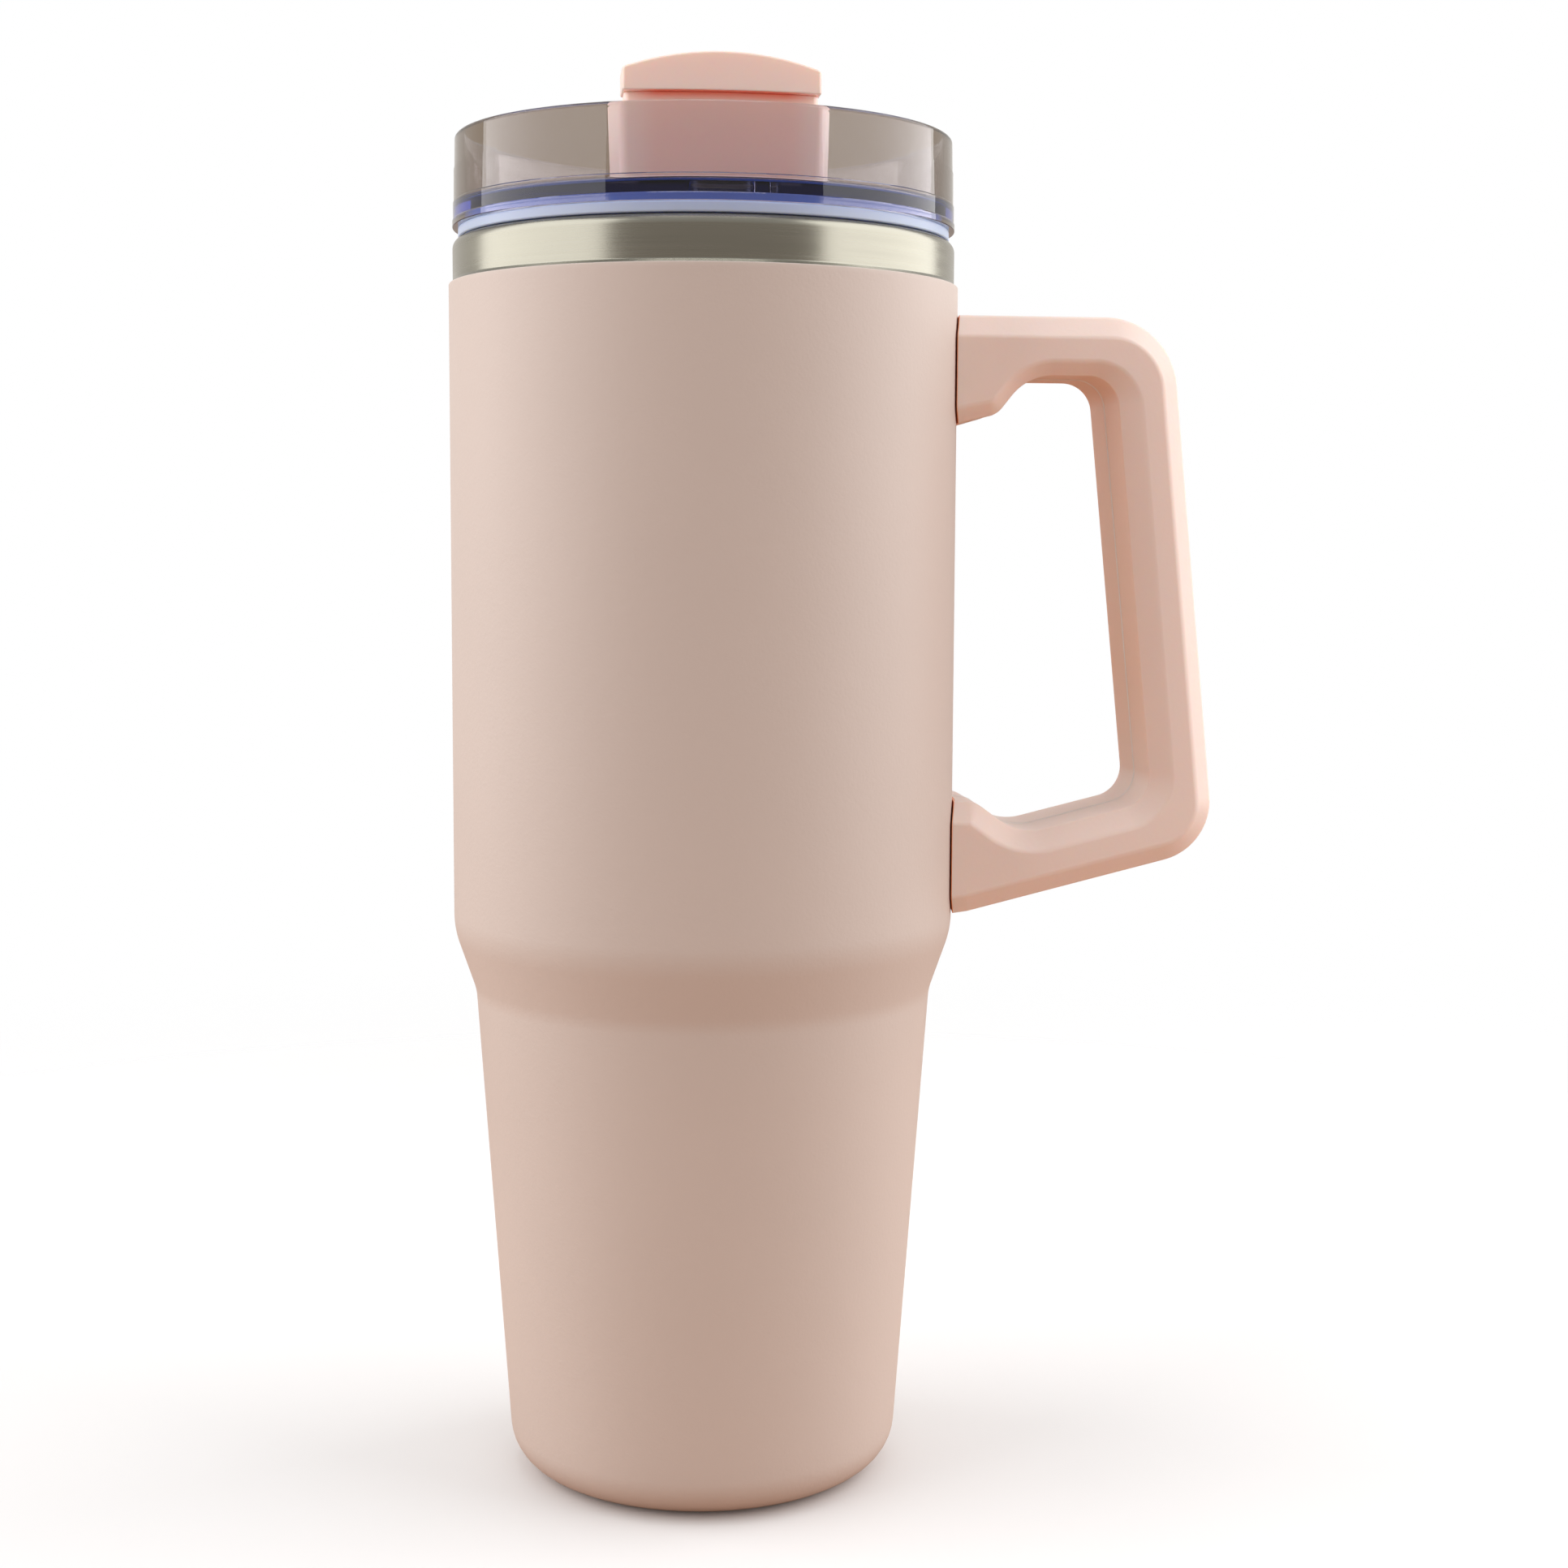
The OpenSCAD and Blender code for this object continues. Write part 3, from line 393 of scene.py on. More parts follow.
def brushed(name, colour, roughness, depth, anisotropy):
    """Steel brushed along the piece's first UV axis, with stretched highlights and a few dark specks."""
    material, tree, principled = shader(name, Metallic=1.0, Anisotropic=anisotropy, Anisotropic_Rotation=0.25)
    place_of = tree.nodes.new("ShaderNodeTexCoord")
    lines = place(tree, brushing, Vector=place_of.outputs["UV"], Scale=5000.0)
    spots = place(tree, specks, Vector=place_of.outputs["Object"], Scale=160.0, Share=0.06, Size=0.16)
    streak_shade, streak_rough, speck_shade = 0.24, 0.16, 0.35
    shade = calc(tree, "MULTIPLY_ADD", lines["Streak"], streak_shade, 1 - streak_shade / 2)
    speck = calc(tree, "MULTIPLY_ADD", spots["Mask"], -speck_shade, 1.0)
    tone = times(tree, colour, calc(tree, "MULTIPLY", shade, speck))
    tree.links.new(tone, principled.inputs["Base Color"])
    rough = calc(tree, "MULTIPLY_ADD", lines["Streak"], streak_rough, roughness - streak_rough / 2)
    tree.links.new(rough, principled.inputs["Roughness"])
    tangent = tree.nodes.new("ShaderNodeTangent")
    tangent.direction_type = "RADIAL"
    tangent.axis = "Z"
    tree.links.new(tangent.outputs[0], principled.inputs["Tangent"])
    bump(tree, principled, lines["Height"], depth)
    return material


shell_line = np.vstack([
    dense(line_of(shell_corners), 6.0),
    dense(line_of(offset(shell_corners, shell_t)), 12.0)[::-1],
])
shell = smooth(spun("steel_shell", shell_line))
band_steel = brushed("brushed band steel", (0.31, 0.30, 0.25), 0.27, 0.000012, 0.55)
dress(shell, band_steel)
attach(shell, "tumbler")
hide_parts("outer_shell")

# ---- Liner -------------------------------------------------------------------------------------
# The inner vessel: a drawn wall welded to a drawn bottom, electropolished so that drink doesn't
# cling. It hangs from the rim and touches nothing else; the space round it is pumped out.

liner_floor, liner_corner_r, weld_h = 10.0, 8.0, 26.0
liner_side = offset(body_corners, liner_in)
slope = (liner_side[2, 0] - liner_side[1, 0]) / (liner_side[2, 1] - liner_side[1, 1])


def liner_at(z):
    """Outer radius of the liner's tapered part at height z."""
    return liner_side[1, 0] + (z - liner_side[1, 1]) * slope


wall_corners = np.array([
    [liner_at(weld_h), weld_h, 0],
    *liner_side[2:4],
    [liner_r + liner_t, rim_top - shell_t, 0],
])
inside_corners = offset(wall_corners, liner_t)
inside_corners[-1] = [liner_r, rim_top, rim_inner_r]
wall_line = np.vstack([
    dense(line_of(wall_corners), 12.0),
    [[rim_mid_r, rim_top - shell_t]],
    dense(line_of(np.vstack([inside_corners, [[rim_mid_r, rim_top, 0]]])), 6.0)[::-1],
])
liner_wall = smooth(spun("liner_wall_skin", wall_line))
liner_base = liner_floor - liner_t
bottom_corners = np.array([
    [0, liner_base, 0],
    [liner_at(liner_base), liner_base, liner_corner_r + liner_t],
    [liner_at(weld_h), weld_h, 0],
])
bottom_line = np.vstack([line_of(bottom_corners), line_of(offset(bottom_corners, liner_t))[::-1]])
liner_bottom = smooth(spun("liner_bottom_skin", bottom_line, closed=False))
liner_steel = brushed("polished liner steel", (0.66, 0.65, 0.63), 0.24, 0.000004, 0.3)
for piece, node in ((liner_wall, "liner_wall"), (liner_bottom, "liner_bottom")):
    dress(piece, liner_steel)
    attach(piece, "tumbler")
    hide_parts(node)

# ---- Base --------------------------------------------------------------------------------------
# A recessed steel bottom closes the vacuum; a stamped disc pushed up inside the shell's lip hides
# it and gives the tumbler a flat, spun-finished face to stand on.

_, base_high = span("base_cover")
cover_t, cover_edge_r, cover_edge_h = 0.5, base_high[0], base_high[2]
disc_corners = [
    [0, 0, 0],
    [cover_edge_r, 0, 0.5],
    [cover_edge_r, cover_edge_h, 0],
    [cover_edge_r - cover_t, cover_edge_h, 0],
    [cover_edge_r - cover_t, cover_t, 0.2],
    [0, cover_t, 0],
]
base_disc = smooth(spun("base_disc", line_of(disc_corners), closed=False))
dress(base_disc, brushed("spun base steel", (0.62, 0.61, 0.57), 0.30, 0.00001, 0.4))
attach(base_disc, "tumbler")
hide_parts("base_cover")


def formed(name, colour, roughness, metallic=1.0, depth=0.00001, scale=900.0):
    """A pressed or sintered metal part: mottled tone and a faint all-over grain."""
    return moulded(name, colour, roughness, scale, depth, 0.05, Metallic=metallic)


hidden = {
    "outer_bottom": formed("pressed steel", (0.55, 0.54, 0.51), 0.38),
    "vacuum_seal_bead": moulded("fused solder glass", (0.03, 0.022, 0.016), 0.2, 500.0, 0.00002),
    "radiation_foil": formed("copper foil", (0.80, 0.42, 0.25), 0.22, depth=0.00006, scale=180.0),
    "getter": formed("sintered getter", (0.14, 0.14, 0.15), 0.7, metallic=0.6, depth=0.00005),
}
for node, material in hidden.items():
    dress(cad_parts[node], material)

# ---- Handle ------------------------------------------------------------------------------------
# Two hollow halves moulded in pink plastic meet on a seam in the middle plane. Screws through the
# rear half draw them together on the tongues of two brackets welded to the shell.

front_low, front_high = span("handle_front_half")
handle_w, handle_top, handle_foot = -2 * front_low[1], front_high[2], front_low[2]
root_x, reach_x = body_r + 0.4, body_r + 41.5
upper_arm_t, grip_t, lower_arm_t = 11.5, 12.2, 12.35
lean_deg, rise_deg = 5.9, 13.9
lean, rise = tan(radians(lean_deg)), tan(radians(rise_deg))
lower_face = handle_foot + lower_arm_t / cos(radians(rise_deg))


def lean_meets(corner, foot):
    """Where the line that leans through corner meets the lower arm's line that starts at height foot."""
    z = (foot + rise * (corner[0] - root_x + corner[1] * lean)) / (1 + lean * rise)
    return [corner[0] + (corner[1] - z) * lean, z]


def arm(start, x):
    """Height at x of the lower arm's line that starts at the root at height start."""
    return start + (x - root_x) * rise


top_in = handle_top - upper_arm_t
upper_outer = [reach_x, handle_top]
lower_outer = lean_meets(upper_outer, handle_foot)
upper_inner = [reach_x - grip_t + upper_arm_t * lean, top_in]
lower_inner = lean_meets(upper_inner, lower_face)
knee_up, blend_up, knee_low, blend_low = body_r + 6.8, body_r + 12.8, body_r + 3.4, body_r + 12.4
upper_flare, lower_flare, upper_knee_share, lower_knee_share = 9.4, 9.7, 0.8, 0.91
upper_bend_r, lower_bend_r, bend_steps = 14.5, 12.0, 12
upper_setback = upper_bend_r * tan(radians((90 - lean_deg) / 2))
lower_setback = lower_bend_r * tan(radians((90 + lean_deg - rise_deg) / 2))

# The outer and the inner line of the handle seen from the side, as [x, z, setback of the bend].
outer_line = np.array([
    [root_x, handle_top, 0],
    [knee_up, handle_top, 1.5],
    [blend_up, handle_top, 4],
    [*upper_outer, upper_setback],
    [*lower_outer, lower_setback],
    [blend_low, arm(handle_foot, blend_low), 4.5],
    [knee_low, arm(handle_foot, knee_low), 1.5],
    [root_x, handle_foot, 0],
])
inner_line = np.array([
    [root_x, top_in - upper_flare, 0],
    [knee_up, top_in - upper_flare * upper_knee_share, 1.5],
    [blend_up, top_in, 5],
    [*upper_inner, 5.5],
    [*lower_inner, 5.5],
    [blend_low, arm(lower_face, blend_low), 5],
    [knee_low, arm(lower_face, knee_low) + lower_flare * lower_knee_share, 1.5],
    [root_x, lower_face + lower_flare, 0],
])


def bends(line):
    """A line whose corners, [x, z, setback], become arcs that begin and end setback from the corner."""
    p = line[:, :2]
    d = np.diff(p, axis=0)
    d /= np.linalg.norm(d, axis=1, keepdims=True)
    curves = [arc(p[i], d[i - 1], d[i], line[i, 2], bend_steps) for i in range(1, len(p) - 1)]
    return np.vstack([p[:1], *curves, p[-1:]])


def normals(line, inwards):
    """Unit normals of a line of points (n, 2), on the side that inwards points to. Each is square to
    the step from the point before to the point after."""
    along = np.gradient(line, axis=0)
    across = along[:, ::-1] * [1, -1] / np.linalg.norm(along, axis=1, keepdims=True)
    return across * np.sign((across * inwards).sum(1, keepdims=True))


def handle_rings(side):
    """Rings (stations, points, 3) of one half: the outer and the inner face, the side, and wide
    chamfers between them, cut square to each line and softly rounded. The chamfers are deeper outside
    and shallower inside on the upper arm, and change over round its corner. A fine ridge stands where
    the halves meet."""
    outer, inner = bends(outer_line), bends(inner_line)
    across = (inner - outer) / np.linalg.norm(inner - outer, axis=1, keepdims=True)
    from_outer, from_inner = normals(outer, across), normals(inner, -across)
    from_outer[[0, -1]], from_inner[[0, -1]] = across[[0, -1]], -across[[0, -1]]
    station = np.arange(len(outer))
    share = np.clip(1 - (station - 2 * (bend_steps + 1) - 1) / bend_steps, 0, 1)
    outer_chamfer, inner_chamfer = 3.6 + 0.6 * share, 4.0 - 1.4 * share
    half, ridge, chamfer_w = handle_w / 2, 0.1, 3.0
    face = half - chamfer_w

    def corner(line, way, depth, y):
        p = line + way * (station * 0 + depth)[:, None]
        return np.stack([p[:, 0], station * 0 + side * y, p[:, 1]], -1)

    corners = np.stack([
        corner(outer, from_outer, -ridge, 0),
        corner(outer, from_outer, -ridge, ridge),
        corner(outer, from_outer, 0, 3 * ridge),
        corner(outer, from_outer, 0, face),
        corner(outer, from_outer, outer_chamfer, half),
        corner(inner, from_inner, inner_chamfer, half),
        corner(inner, from_inner, 0, face),
        corner(inner, from_inner, 0, 3 * ridge),
        corner(inner, from_inner, -ridge, ridge),
        corner(inner, from_inner, -ridge, 0),
    ], 1)
    return rounded(corners, [0, 0, 0, 1.2, 1.5, 1.5, 0.6, 0, 0, 0], 6)


def lofted(name, rings, caps=True):
    """A surface through closed rings (k, n, 3) in millimetres, with a flat face on each end if caps. The
    UV map is (share of the way along, share of the way round)."""
    k, n, _ = rings.shape
    i, j = np.meshgrid(np.arange(k - 1), np.arange(n), indexing="ij")
    i, j = i.ravel(), j.ravel()
    after = (j + 1) % n
    quads = np.column_stack([i * n + j, i * n + after, (i + 1) * n + after, (i + 1) * n + j])
    ends = [np.arange(n)[::-1], (k - 1) * n + np.arange(n)] if caps else []
    u = np.column_stack([i, i, i + 1, i + 1]) / (k - 1)
    v = np.column_stack([j, j + 1, j + 1, j]) / n
    return mesh_piece(name, rings.reshape(-1, 3), quads, np.stack([u, v], -1).reshape(-1, 2), ends)


def handle_half(name, side):
    """One half on the given side of the seam, whose root rings dip to follow the round body."""
    rings = handle_rings(side)
    root_y = rings[[0, -1], :, 1]
    rings[[0, -1], :, 0] -= root_x - np.sqrt(root_x**2 - root_y**2)
    return lofted(name, rings)


def disc_bar(name, at, low, high, r, axis, turns=64):
    """A round bar along axis 0, 1 or 2 from low to high, round the other two places in at."""
    angle = np.linspace(0, 2 * pi, turns, endpoint=False)
    ring = np.zeros((2, turns, 3))
    one, two = [a for a in range(3) if a != axis]
    ring[..., one] = at[0] + r * np.cos(angle)
    ring[..., two] = at[1] + r * np.sin(angle)
    ring[0, :, axis], ring[1, :, axis] = low, high
    return lofted(name, ring)


def carve(piece, tool, operation="DIFFERENCE"):
    """Cuts the tool out of the piece, or joins it on, and removes the tool."""
    change = piece.modifiers.new("carve", "BOOLEAN")
    change.operation, change.solver, change.object = operation, "EXACT", tool
    bpy.context.view_layer.update()
    shaped = bpy.data.meshes.new_from_object(piece.evaluated_get(bpy.context.evaluated_depsgraph_get()))
    piece.modifiers.clear()
    piece.data = shaped
    bpy.data.objects.remove(tool)
    return piece


front_half = handle_half("handle_front", -1)
rear_half = handle_half("handle_rear", 1)
plug_low, plug_high = span("screw_plugs")
plug_r, seat_r, seat_y = 2.8, 2.95, plug_low[1] - 0.3
for z in (plug_low[2] + plug_r, plug_high[2] - plug_r):
    screw_at = ((plug_low[0] + plug_high[0]) / 2, z)
    carve(rear_half, disc_bar("plug_seat", screw_at, seat_y, handle_w / 2 + 1, seat_r, 1))
handle_pink = (0.89, 0.725, 0.655)
handle_plastic = moulded(
    "moulded handle plastic", handle_pink, 0.42, 1100.0, 0.00002, 0.012,
    Subsurface_Weight=0.25, Subsurface_Radius=(0.004, 0.0018, 0.001), Subsurface_Scale=1.0,
)


def blend(tree, share, first, second):
    """A mix of two colours; each argument is a socket or plain values. Returns the mixed colour."""
    node = tree.nodes.new("ShaderNodeMix")
    node.data_type = "RGBA"
    feed(tree, node.inputs[0], share)
    feed(tree, node.inputs[6], first)
    feed(tree, node.inputs[7], second)
    return node.outputs[2]


def ramp(tree, value, low, high):
    """0 where the value is low, 1 where it is high, and an even, eased change between."""
    node = tree.nodes.new("ShaderNodeMapRange")
    node.interpolation_type = "SMOOTHSTEP"
    node.inputs["From Min"].default_value, node.inputs["From Max"].default_value = low, high
    tree.links.new(value, node.inputs["Value"])
    return node.outputs[0]


def parts_of(tree, vector):
    """The three numbers of a vector, as sockets."""
    node = tree.nodes.new("ShaderNodeSeparateXYZ")
    tree.links.new(vector, node.inputs[0])
    return node.outputs


def length_of(tree, vector):
    """The length of a vector, as a socket."""
    node = tree.nodes.new("ShaderNodeVectorMath")
    node.operation = "LENGTH"
    tree.links.new(vector, node.inputs[0])
    return node.outputs["Value"]


# Painted light in the base colour: the faces towards the hand are painted warmer, more on the upper
# part, for light that soaks through the thin walls and bounces off the body, and the roots' ends are
# painted with a red glow. The ridge on the seam is flash, painted paler as a highlight.
tree = handle_plastic.node_tree
principled = tree.nodes["Principled BSDF"]
coordinates = tree.nodes.new("ShaderNodeTexCoord").outputs
painted_warm_share, flash_highlight_half, end_depth = 0.85, 0.35, 0.12
painted_warm_from, painted_warm_full = front_low[2] + 14, front_low[2] + 50
_, across, up = parts_of(tree, coordinates["Object"])
to_hand = ramp(tree, parts_of(tree, coordinates["UV"])[1], 0.66, 0.92)
high_up = ramp(tree, up, painted_warm_from * mm, painted_warm_full * mm)
# Painted warm light on the faces towards the hand, more on the upper part.
painted_warmth = calc(tree, "MULTIPLY", calc(tree, "MULTIPLY", to_hand, high_up), painted_warm_share)
# Painted highlight: the flash ridge on the seam is painted paler.
painted_flash_highlight = calc(tree, "LESS_THAN", calc(tree, "ABSOLUTE", across), flash_highlight_half * mm)
from_axis = length_of(tree, scaled(tree, coordinates["Object"], (1, 1, 0)))
# Painted red glow on the ends of the roots.
painted_root_glow = calc(tree, "LESS_THAN", from_axis, (root_x + end_depth) * mm)
tone = principled.inputs["Base Color"].links[0].from_socket
tone = blend(tree, painted_warmth, tone, (0.86, 0.56, 0.42, 1))
tone = blend(tree, painted_flash_highlight, tone, (0.97, 0.86, 0.80, 1))
tone = blend(tree, painted_root_glow, tone, (0.95, 0.27, 0.10, 1))
tree.links.new(tone, principled.inputs["Base Color"])
for piece, node in ((front_half, "handle_front_half"), (rear_half, "handle_rear_half")):
    smooth(piece, weighted=True)
    dress(piece, handle_plastic)
    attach(piece, "tumbler")
    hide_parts(node)
dress(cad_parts["screw_plugs"], handle_plastic)
dress(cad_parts["handle_screws"], formed("screw steel", (0.60, 0.60, 0.62), 0.25))
for node in ("upper_bracket", "lower_bracket"):
    dress(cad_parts[node], hidden["outer_bottom"].copy())

# ---- Lid ---------------------------------------------------------------------------------------
# A clear smoky cup pressed into the mouth: a tall wall round a recessed floor with the drink slot,
# an air hole and two hinge lugs. A blue plug ring under the floor carries a pale silicone gasket.

cup_low, cup_high = span("lid_cup")
skirt_z, lid_top, lid_r = cup_low[2], cup_high[2], cup_high[0]
skirt_h, floor_t, lid_draft, lid_wall_t = 1.6, 2.0, 0.6, 2.0
floor_z = skirt_z + skirt_h
floor_top = floor_z + floor_t
recess_r = lid_r - lid_draft - lid_wall_t
flange_r = recess_r + 0.3
cup_line = line_of([
    [0, floor_z, 0],
    [flange_r, floor_z, 0],
    [flange_r, skirt_z, 0],
    [lid_r, skirt_z, 0.15],
    [lid_r, skirt_z + 1.2, 0],
    [lid_r - lid_draft * 0.25, skirt_z + 1.4, 0],
    [lid_r - lid_draft * 0.25, skirt_z + 4.6, 0],
    [lid_r - lid_draft * 0.5, skirt_z + 4.8, 0],
    [lid_r - lid_draft * 0.6, skirt_z + 11.1, 0],
    [lid_r - lid_draft * 0.8, skirt_z + 11.3, 0],
    [lid_r - lid_draft, lid_top, 0.7],
    [recess_r, lid_top, 0.7],
    [recess_r, floor_top, 1.2],
    [0, floor_top, 0],
])
lid_cup = spun("lid_cup_clear", cup_line, closed=False)

cover_low, cover_high = span("flip_cover")
pin_low, pin_high = span("hinge_pin")
hinge_y, hinge_z, pin_r = (pin_low[1] + pin_high[1]) / 2, (pin_low[2] + pin_high[2]) / 2, pin_high[1]
tab_front, cover_wall = cover_low[1], 2.0
slot_l, slot_w = 12.0, 5.2
slot_y = tab_front + cover_wall + 1.3 + slot_w / 2 + 0.6


def bar_along_x(name, outline, x0, x1):
    """A prism along X: the outline (n, 2) of [y, z] repeated at x0 and x1."""
    rings = np.zeros((2, len(outline), 3))
    rings[..., 1:] = outline
    rings[0, :, 0], rings[1, :, 0] = x0, x1
    return lofted(name, rings)


def upright(name, outline, z0, z1):
    """A prism along Z: the outline (n, 2) of [x, y] repeated at z0 and z1."""
    rings = np.zeros((2, len(outline), 3))
    rings[..., :2] = outline
    rings[0, :, 2], rings[1, :, 2] = z0, z1
    return lofted(name, rings)


slot_x = slot_l / 2
slot_box = [[-slot_x, -slot_w / 2], [slot_x, -slot_w / 2], [slot_x, slot_w / 2], [-slot_x, slot_w / 2]]
slot_outline = rounded(slot_box, [slot_w / 2 - 0.001] * 4, 12) + [0, slot_y]
lug_out, lug_t, lug_r = 12.6, 4.0, 3.0
lug_z, cut_low, cut_high = floor_top - 1, floor_z - 1, floor_top + 1
air_hole_x, air_hole_r, bore_end = 8.8, 1.0, 20
lug_box = [[-lug_r, lug_z], [lug_r, lug_z], [lug_r, hinge_z + lug_r], [-lug_r, hinge_z + lug_r]]
lug_outline = rounded(lug_box, [0, 0, lug_r - 0.001, lug_r - 0.001], 16) + [hinge_y, 0]
for x in (-lug_out, lug_out - lug_t):
    carve(lid_cup, bar_along_x("lug", lug_outline, x, x + lug_t), "UNION")
carve(lid_cup, upright("slot", slot_outline, cut_low, cut_high))
carve(lid_cup, disc_bar("air_hole", (air_hole_x, slot_y), cut_low, cut_high, air_hole_r, 2))
carve(lid_cup, disc_bar("pin_bore", (hinge_y, hinge_z), -bore_end, bore_end, pin_r, 0))
smooth(lid_cup, weighted=True)


def mixed(tree, share, first, second):
    """A mix of two shaders; the share and both shaders are sockets. Returns the mixed shader."""
    node = tree.nodes.new("ShaderNodeMixShader")
    for socket, value in zip(node.inputs, (share, first, second)):
        tree.links.new(value, socket)
    return node.outputs[0]


def clear_plastic(name, tint, roughness, soaked_up, density, ior=1.5):
    """Clear plastic that lets lamps through: the glass shader, swapped for a tinted see-through one on
    shadow rays, with faint dust specks and slow changes in roughness. The bulk of it takes up light
    along the way, and leaves the soaked_up colour."""
    material, tree, principled = shader(name, Transmission_Weight=1.0, IOR=ior)
    at = object_place(tree)
    dust = place(tree, specks, Vector=at, Scale=220.0, Share=0.03, Size=0.12)
    tone = place(tree, mottle, Vector=at, Color=(*tint, 1), Scale=25.0, Change=0.03)
    tree.links.new(tone["Color"], principled.inputs["Base Color"])
    haze = place(tree, grain, Vector=at, Scale=300.0, Roughness=roughness, Change=roughness * 0.5)
    rough = calc(tree, "MULTIPLY_ADD", dust["Mask"], 0.5, haze["Roughness"])
    tree.links.new(rough, principled.inputs["Roughness"])
    through = tree.nodes.new("ShaderNodeBsdfTransparent")
    through.inputs[0].default_value = (0.985, 0.98, 0.975, 1)
    shadow = tree.nodes.new("ShaderNodeLightPath").outputs["Is Shadow Ray"]
    surface = mixed(tree, shadow, principled.outputs[0], through.outputs[0])
    tree.links.new(surface, tree.nodes["Material Output"].inputs["Surface"])
    depth = tree.nodes.new("ShaderNodeVolumeAbsorption")
    depth.inputs["Color"].default_value = (*soaked_up, 1)
    depth.inputs["Density"].default_value = density
    tree.links.new(depth.outputs[0], tree.nodes["Material Output"].inputs["Volume"])
    return material


smoky = clear_plastic("smoky clear plastic", (0.86, 0.80, 0.76), 0.02, (0.25, 0.325, 0.725), 60.0)
dress(lid_cup, smoky)
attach(lid_cup, "lid")
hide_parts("lid_cup")

ring_low, ring_high = span("lid_plug")
plug_bottom, ring_flange = ring_low[2], ring_high[0]
ring_in_r, ring_r = liner_r - 3.4, liner_r - 1.8
plug_corners = [
    [ring_in_r, plug_bottom, 0.3],
    [ring_r + 0.6, plug_bottom, 0.3],
    [ring_r + 0.6, plug_bottom + 1, 0.2],
    [ring_r, plug_bottom + 1, 0],
    [ring_r, skirt_z, 0],
    [ring_flange, skirt_z, 0],
    [ring_flange, floor_z, 0],
    [ring_in_r, floor_z, 0],
]
plug_ring = smooth(spun("plug_ring", line_of(plug_corners)))
blue = moulded("deep blue plastic", (0.08, 0.17, 0.60), 0.16, 500.0, 0.00001, 0.06, Coat_Weight=0.5)
dress(plug_ring, blue)
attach(plug_ring, "lid")
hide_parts("lid_plug")

seal_low, seal_high = span("lid_gasket")
sleeve_r, seal_lip_r, seal_z = ring_r + 0.8, liner_r - 0.3, seal_low[2]
flange_z = rim_top + 0.1
seal_corners = [[ring_r, seal_z, 0], [sleeve_r, seal_z, 0.2]]
for z in (seal_z + 1.5, seal_z + 5):
    seal_corners += [
        [sleeve_r, z, 0],
        [seal_lip_r, z + 0.8, 0.15],
        [seal_lip_r, z + 1.2, 0.15],
        [sleeve_r, z + 1.6, 0],
    ]
seal_corners += [
    [sleeve_r, flange_z, 0],
    [seal_high[0], flange_z, 0.35],
    [seal_high[0], skirt_z, 0.35],
    [ring_r, skirt_z, 0],
]
gasket = smooth(spun("seal_ring", line_of(seal_corners)))
silicone = moulded(
    "pale blue silicone", (0.46, 0.56, 0.76), 0.34, 700.0, 0.00001, 0.03,
    Subsurface_Weight=0.3, Subsurface_Radius=(0.001, 0.0015, 0.003), Subsurface_Scale=1.0,
)
dress(gasket, silicone)
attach(gasket, "lid")
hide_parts("lid_gasket")
dress(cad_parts["hinge_pin"], formed("hinge pin steel", (0.62, 0.62, 0.64), 0.2))

# ---- Flip cover --------------------------------------------------------------------------------
# Pink plastic moulding on a steel pin: a front block with a finger groove under a crowned cap, and
# an arm back to the hinge. A plate inside it carries a silicone stopper for the drink slot.

tab_front_w, tab_back_w, tab_depth = 36.6, 2 * cover_high[0], 10.5
tab_back, front_r = tab_front + tab_depth, 90.0
cover_z, cap_top = cover_low[2], cover_high[2]
groove_z, groove_h, crown_r = lid_top + 0.5, 2.0, 60.0
cap_z = groove_z + groove_h


def tab_outline(front, side, back, corner, straight=False, steps=8):
    """Plan of the front block, inset by front, side and back: a gently curved front between sides that
    widen towards a flat back, or run straight back, with corners of the given radius."""
    half_front, half_back = tab_front_w / 2 - side, (tab_front_w if straight else tab_back_w) / 2 - side
    centre = tab_front + front + front_r
    corner_y = centre - np.sqrt(front_r**2 - half_front**2)
    x = np.linspace(-half_front + 4, half_front - 4, 17)
    middle = np.column_stack([x, centre - np.sqrt(front_r**2 - x**2)])
    corners = np.vstack([
        [[-half_front, corner_y]],
        middle,
        [[half_front, corner_y], [half_back, tab_back - back], [-half_back, tab_back - back]],
    ])
    radii = [corner] + [0] * len(middle) + [corner, min(corner, 1.0), min(corner, 1.0)]
    return rounded(corners, radii, steps)


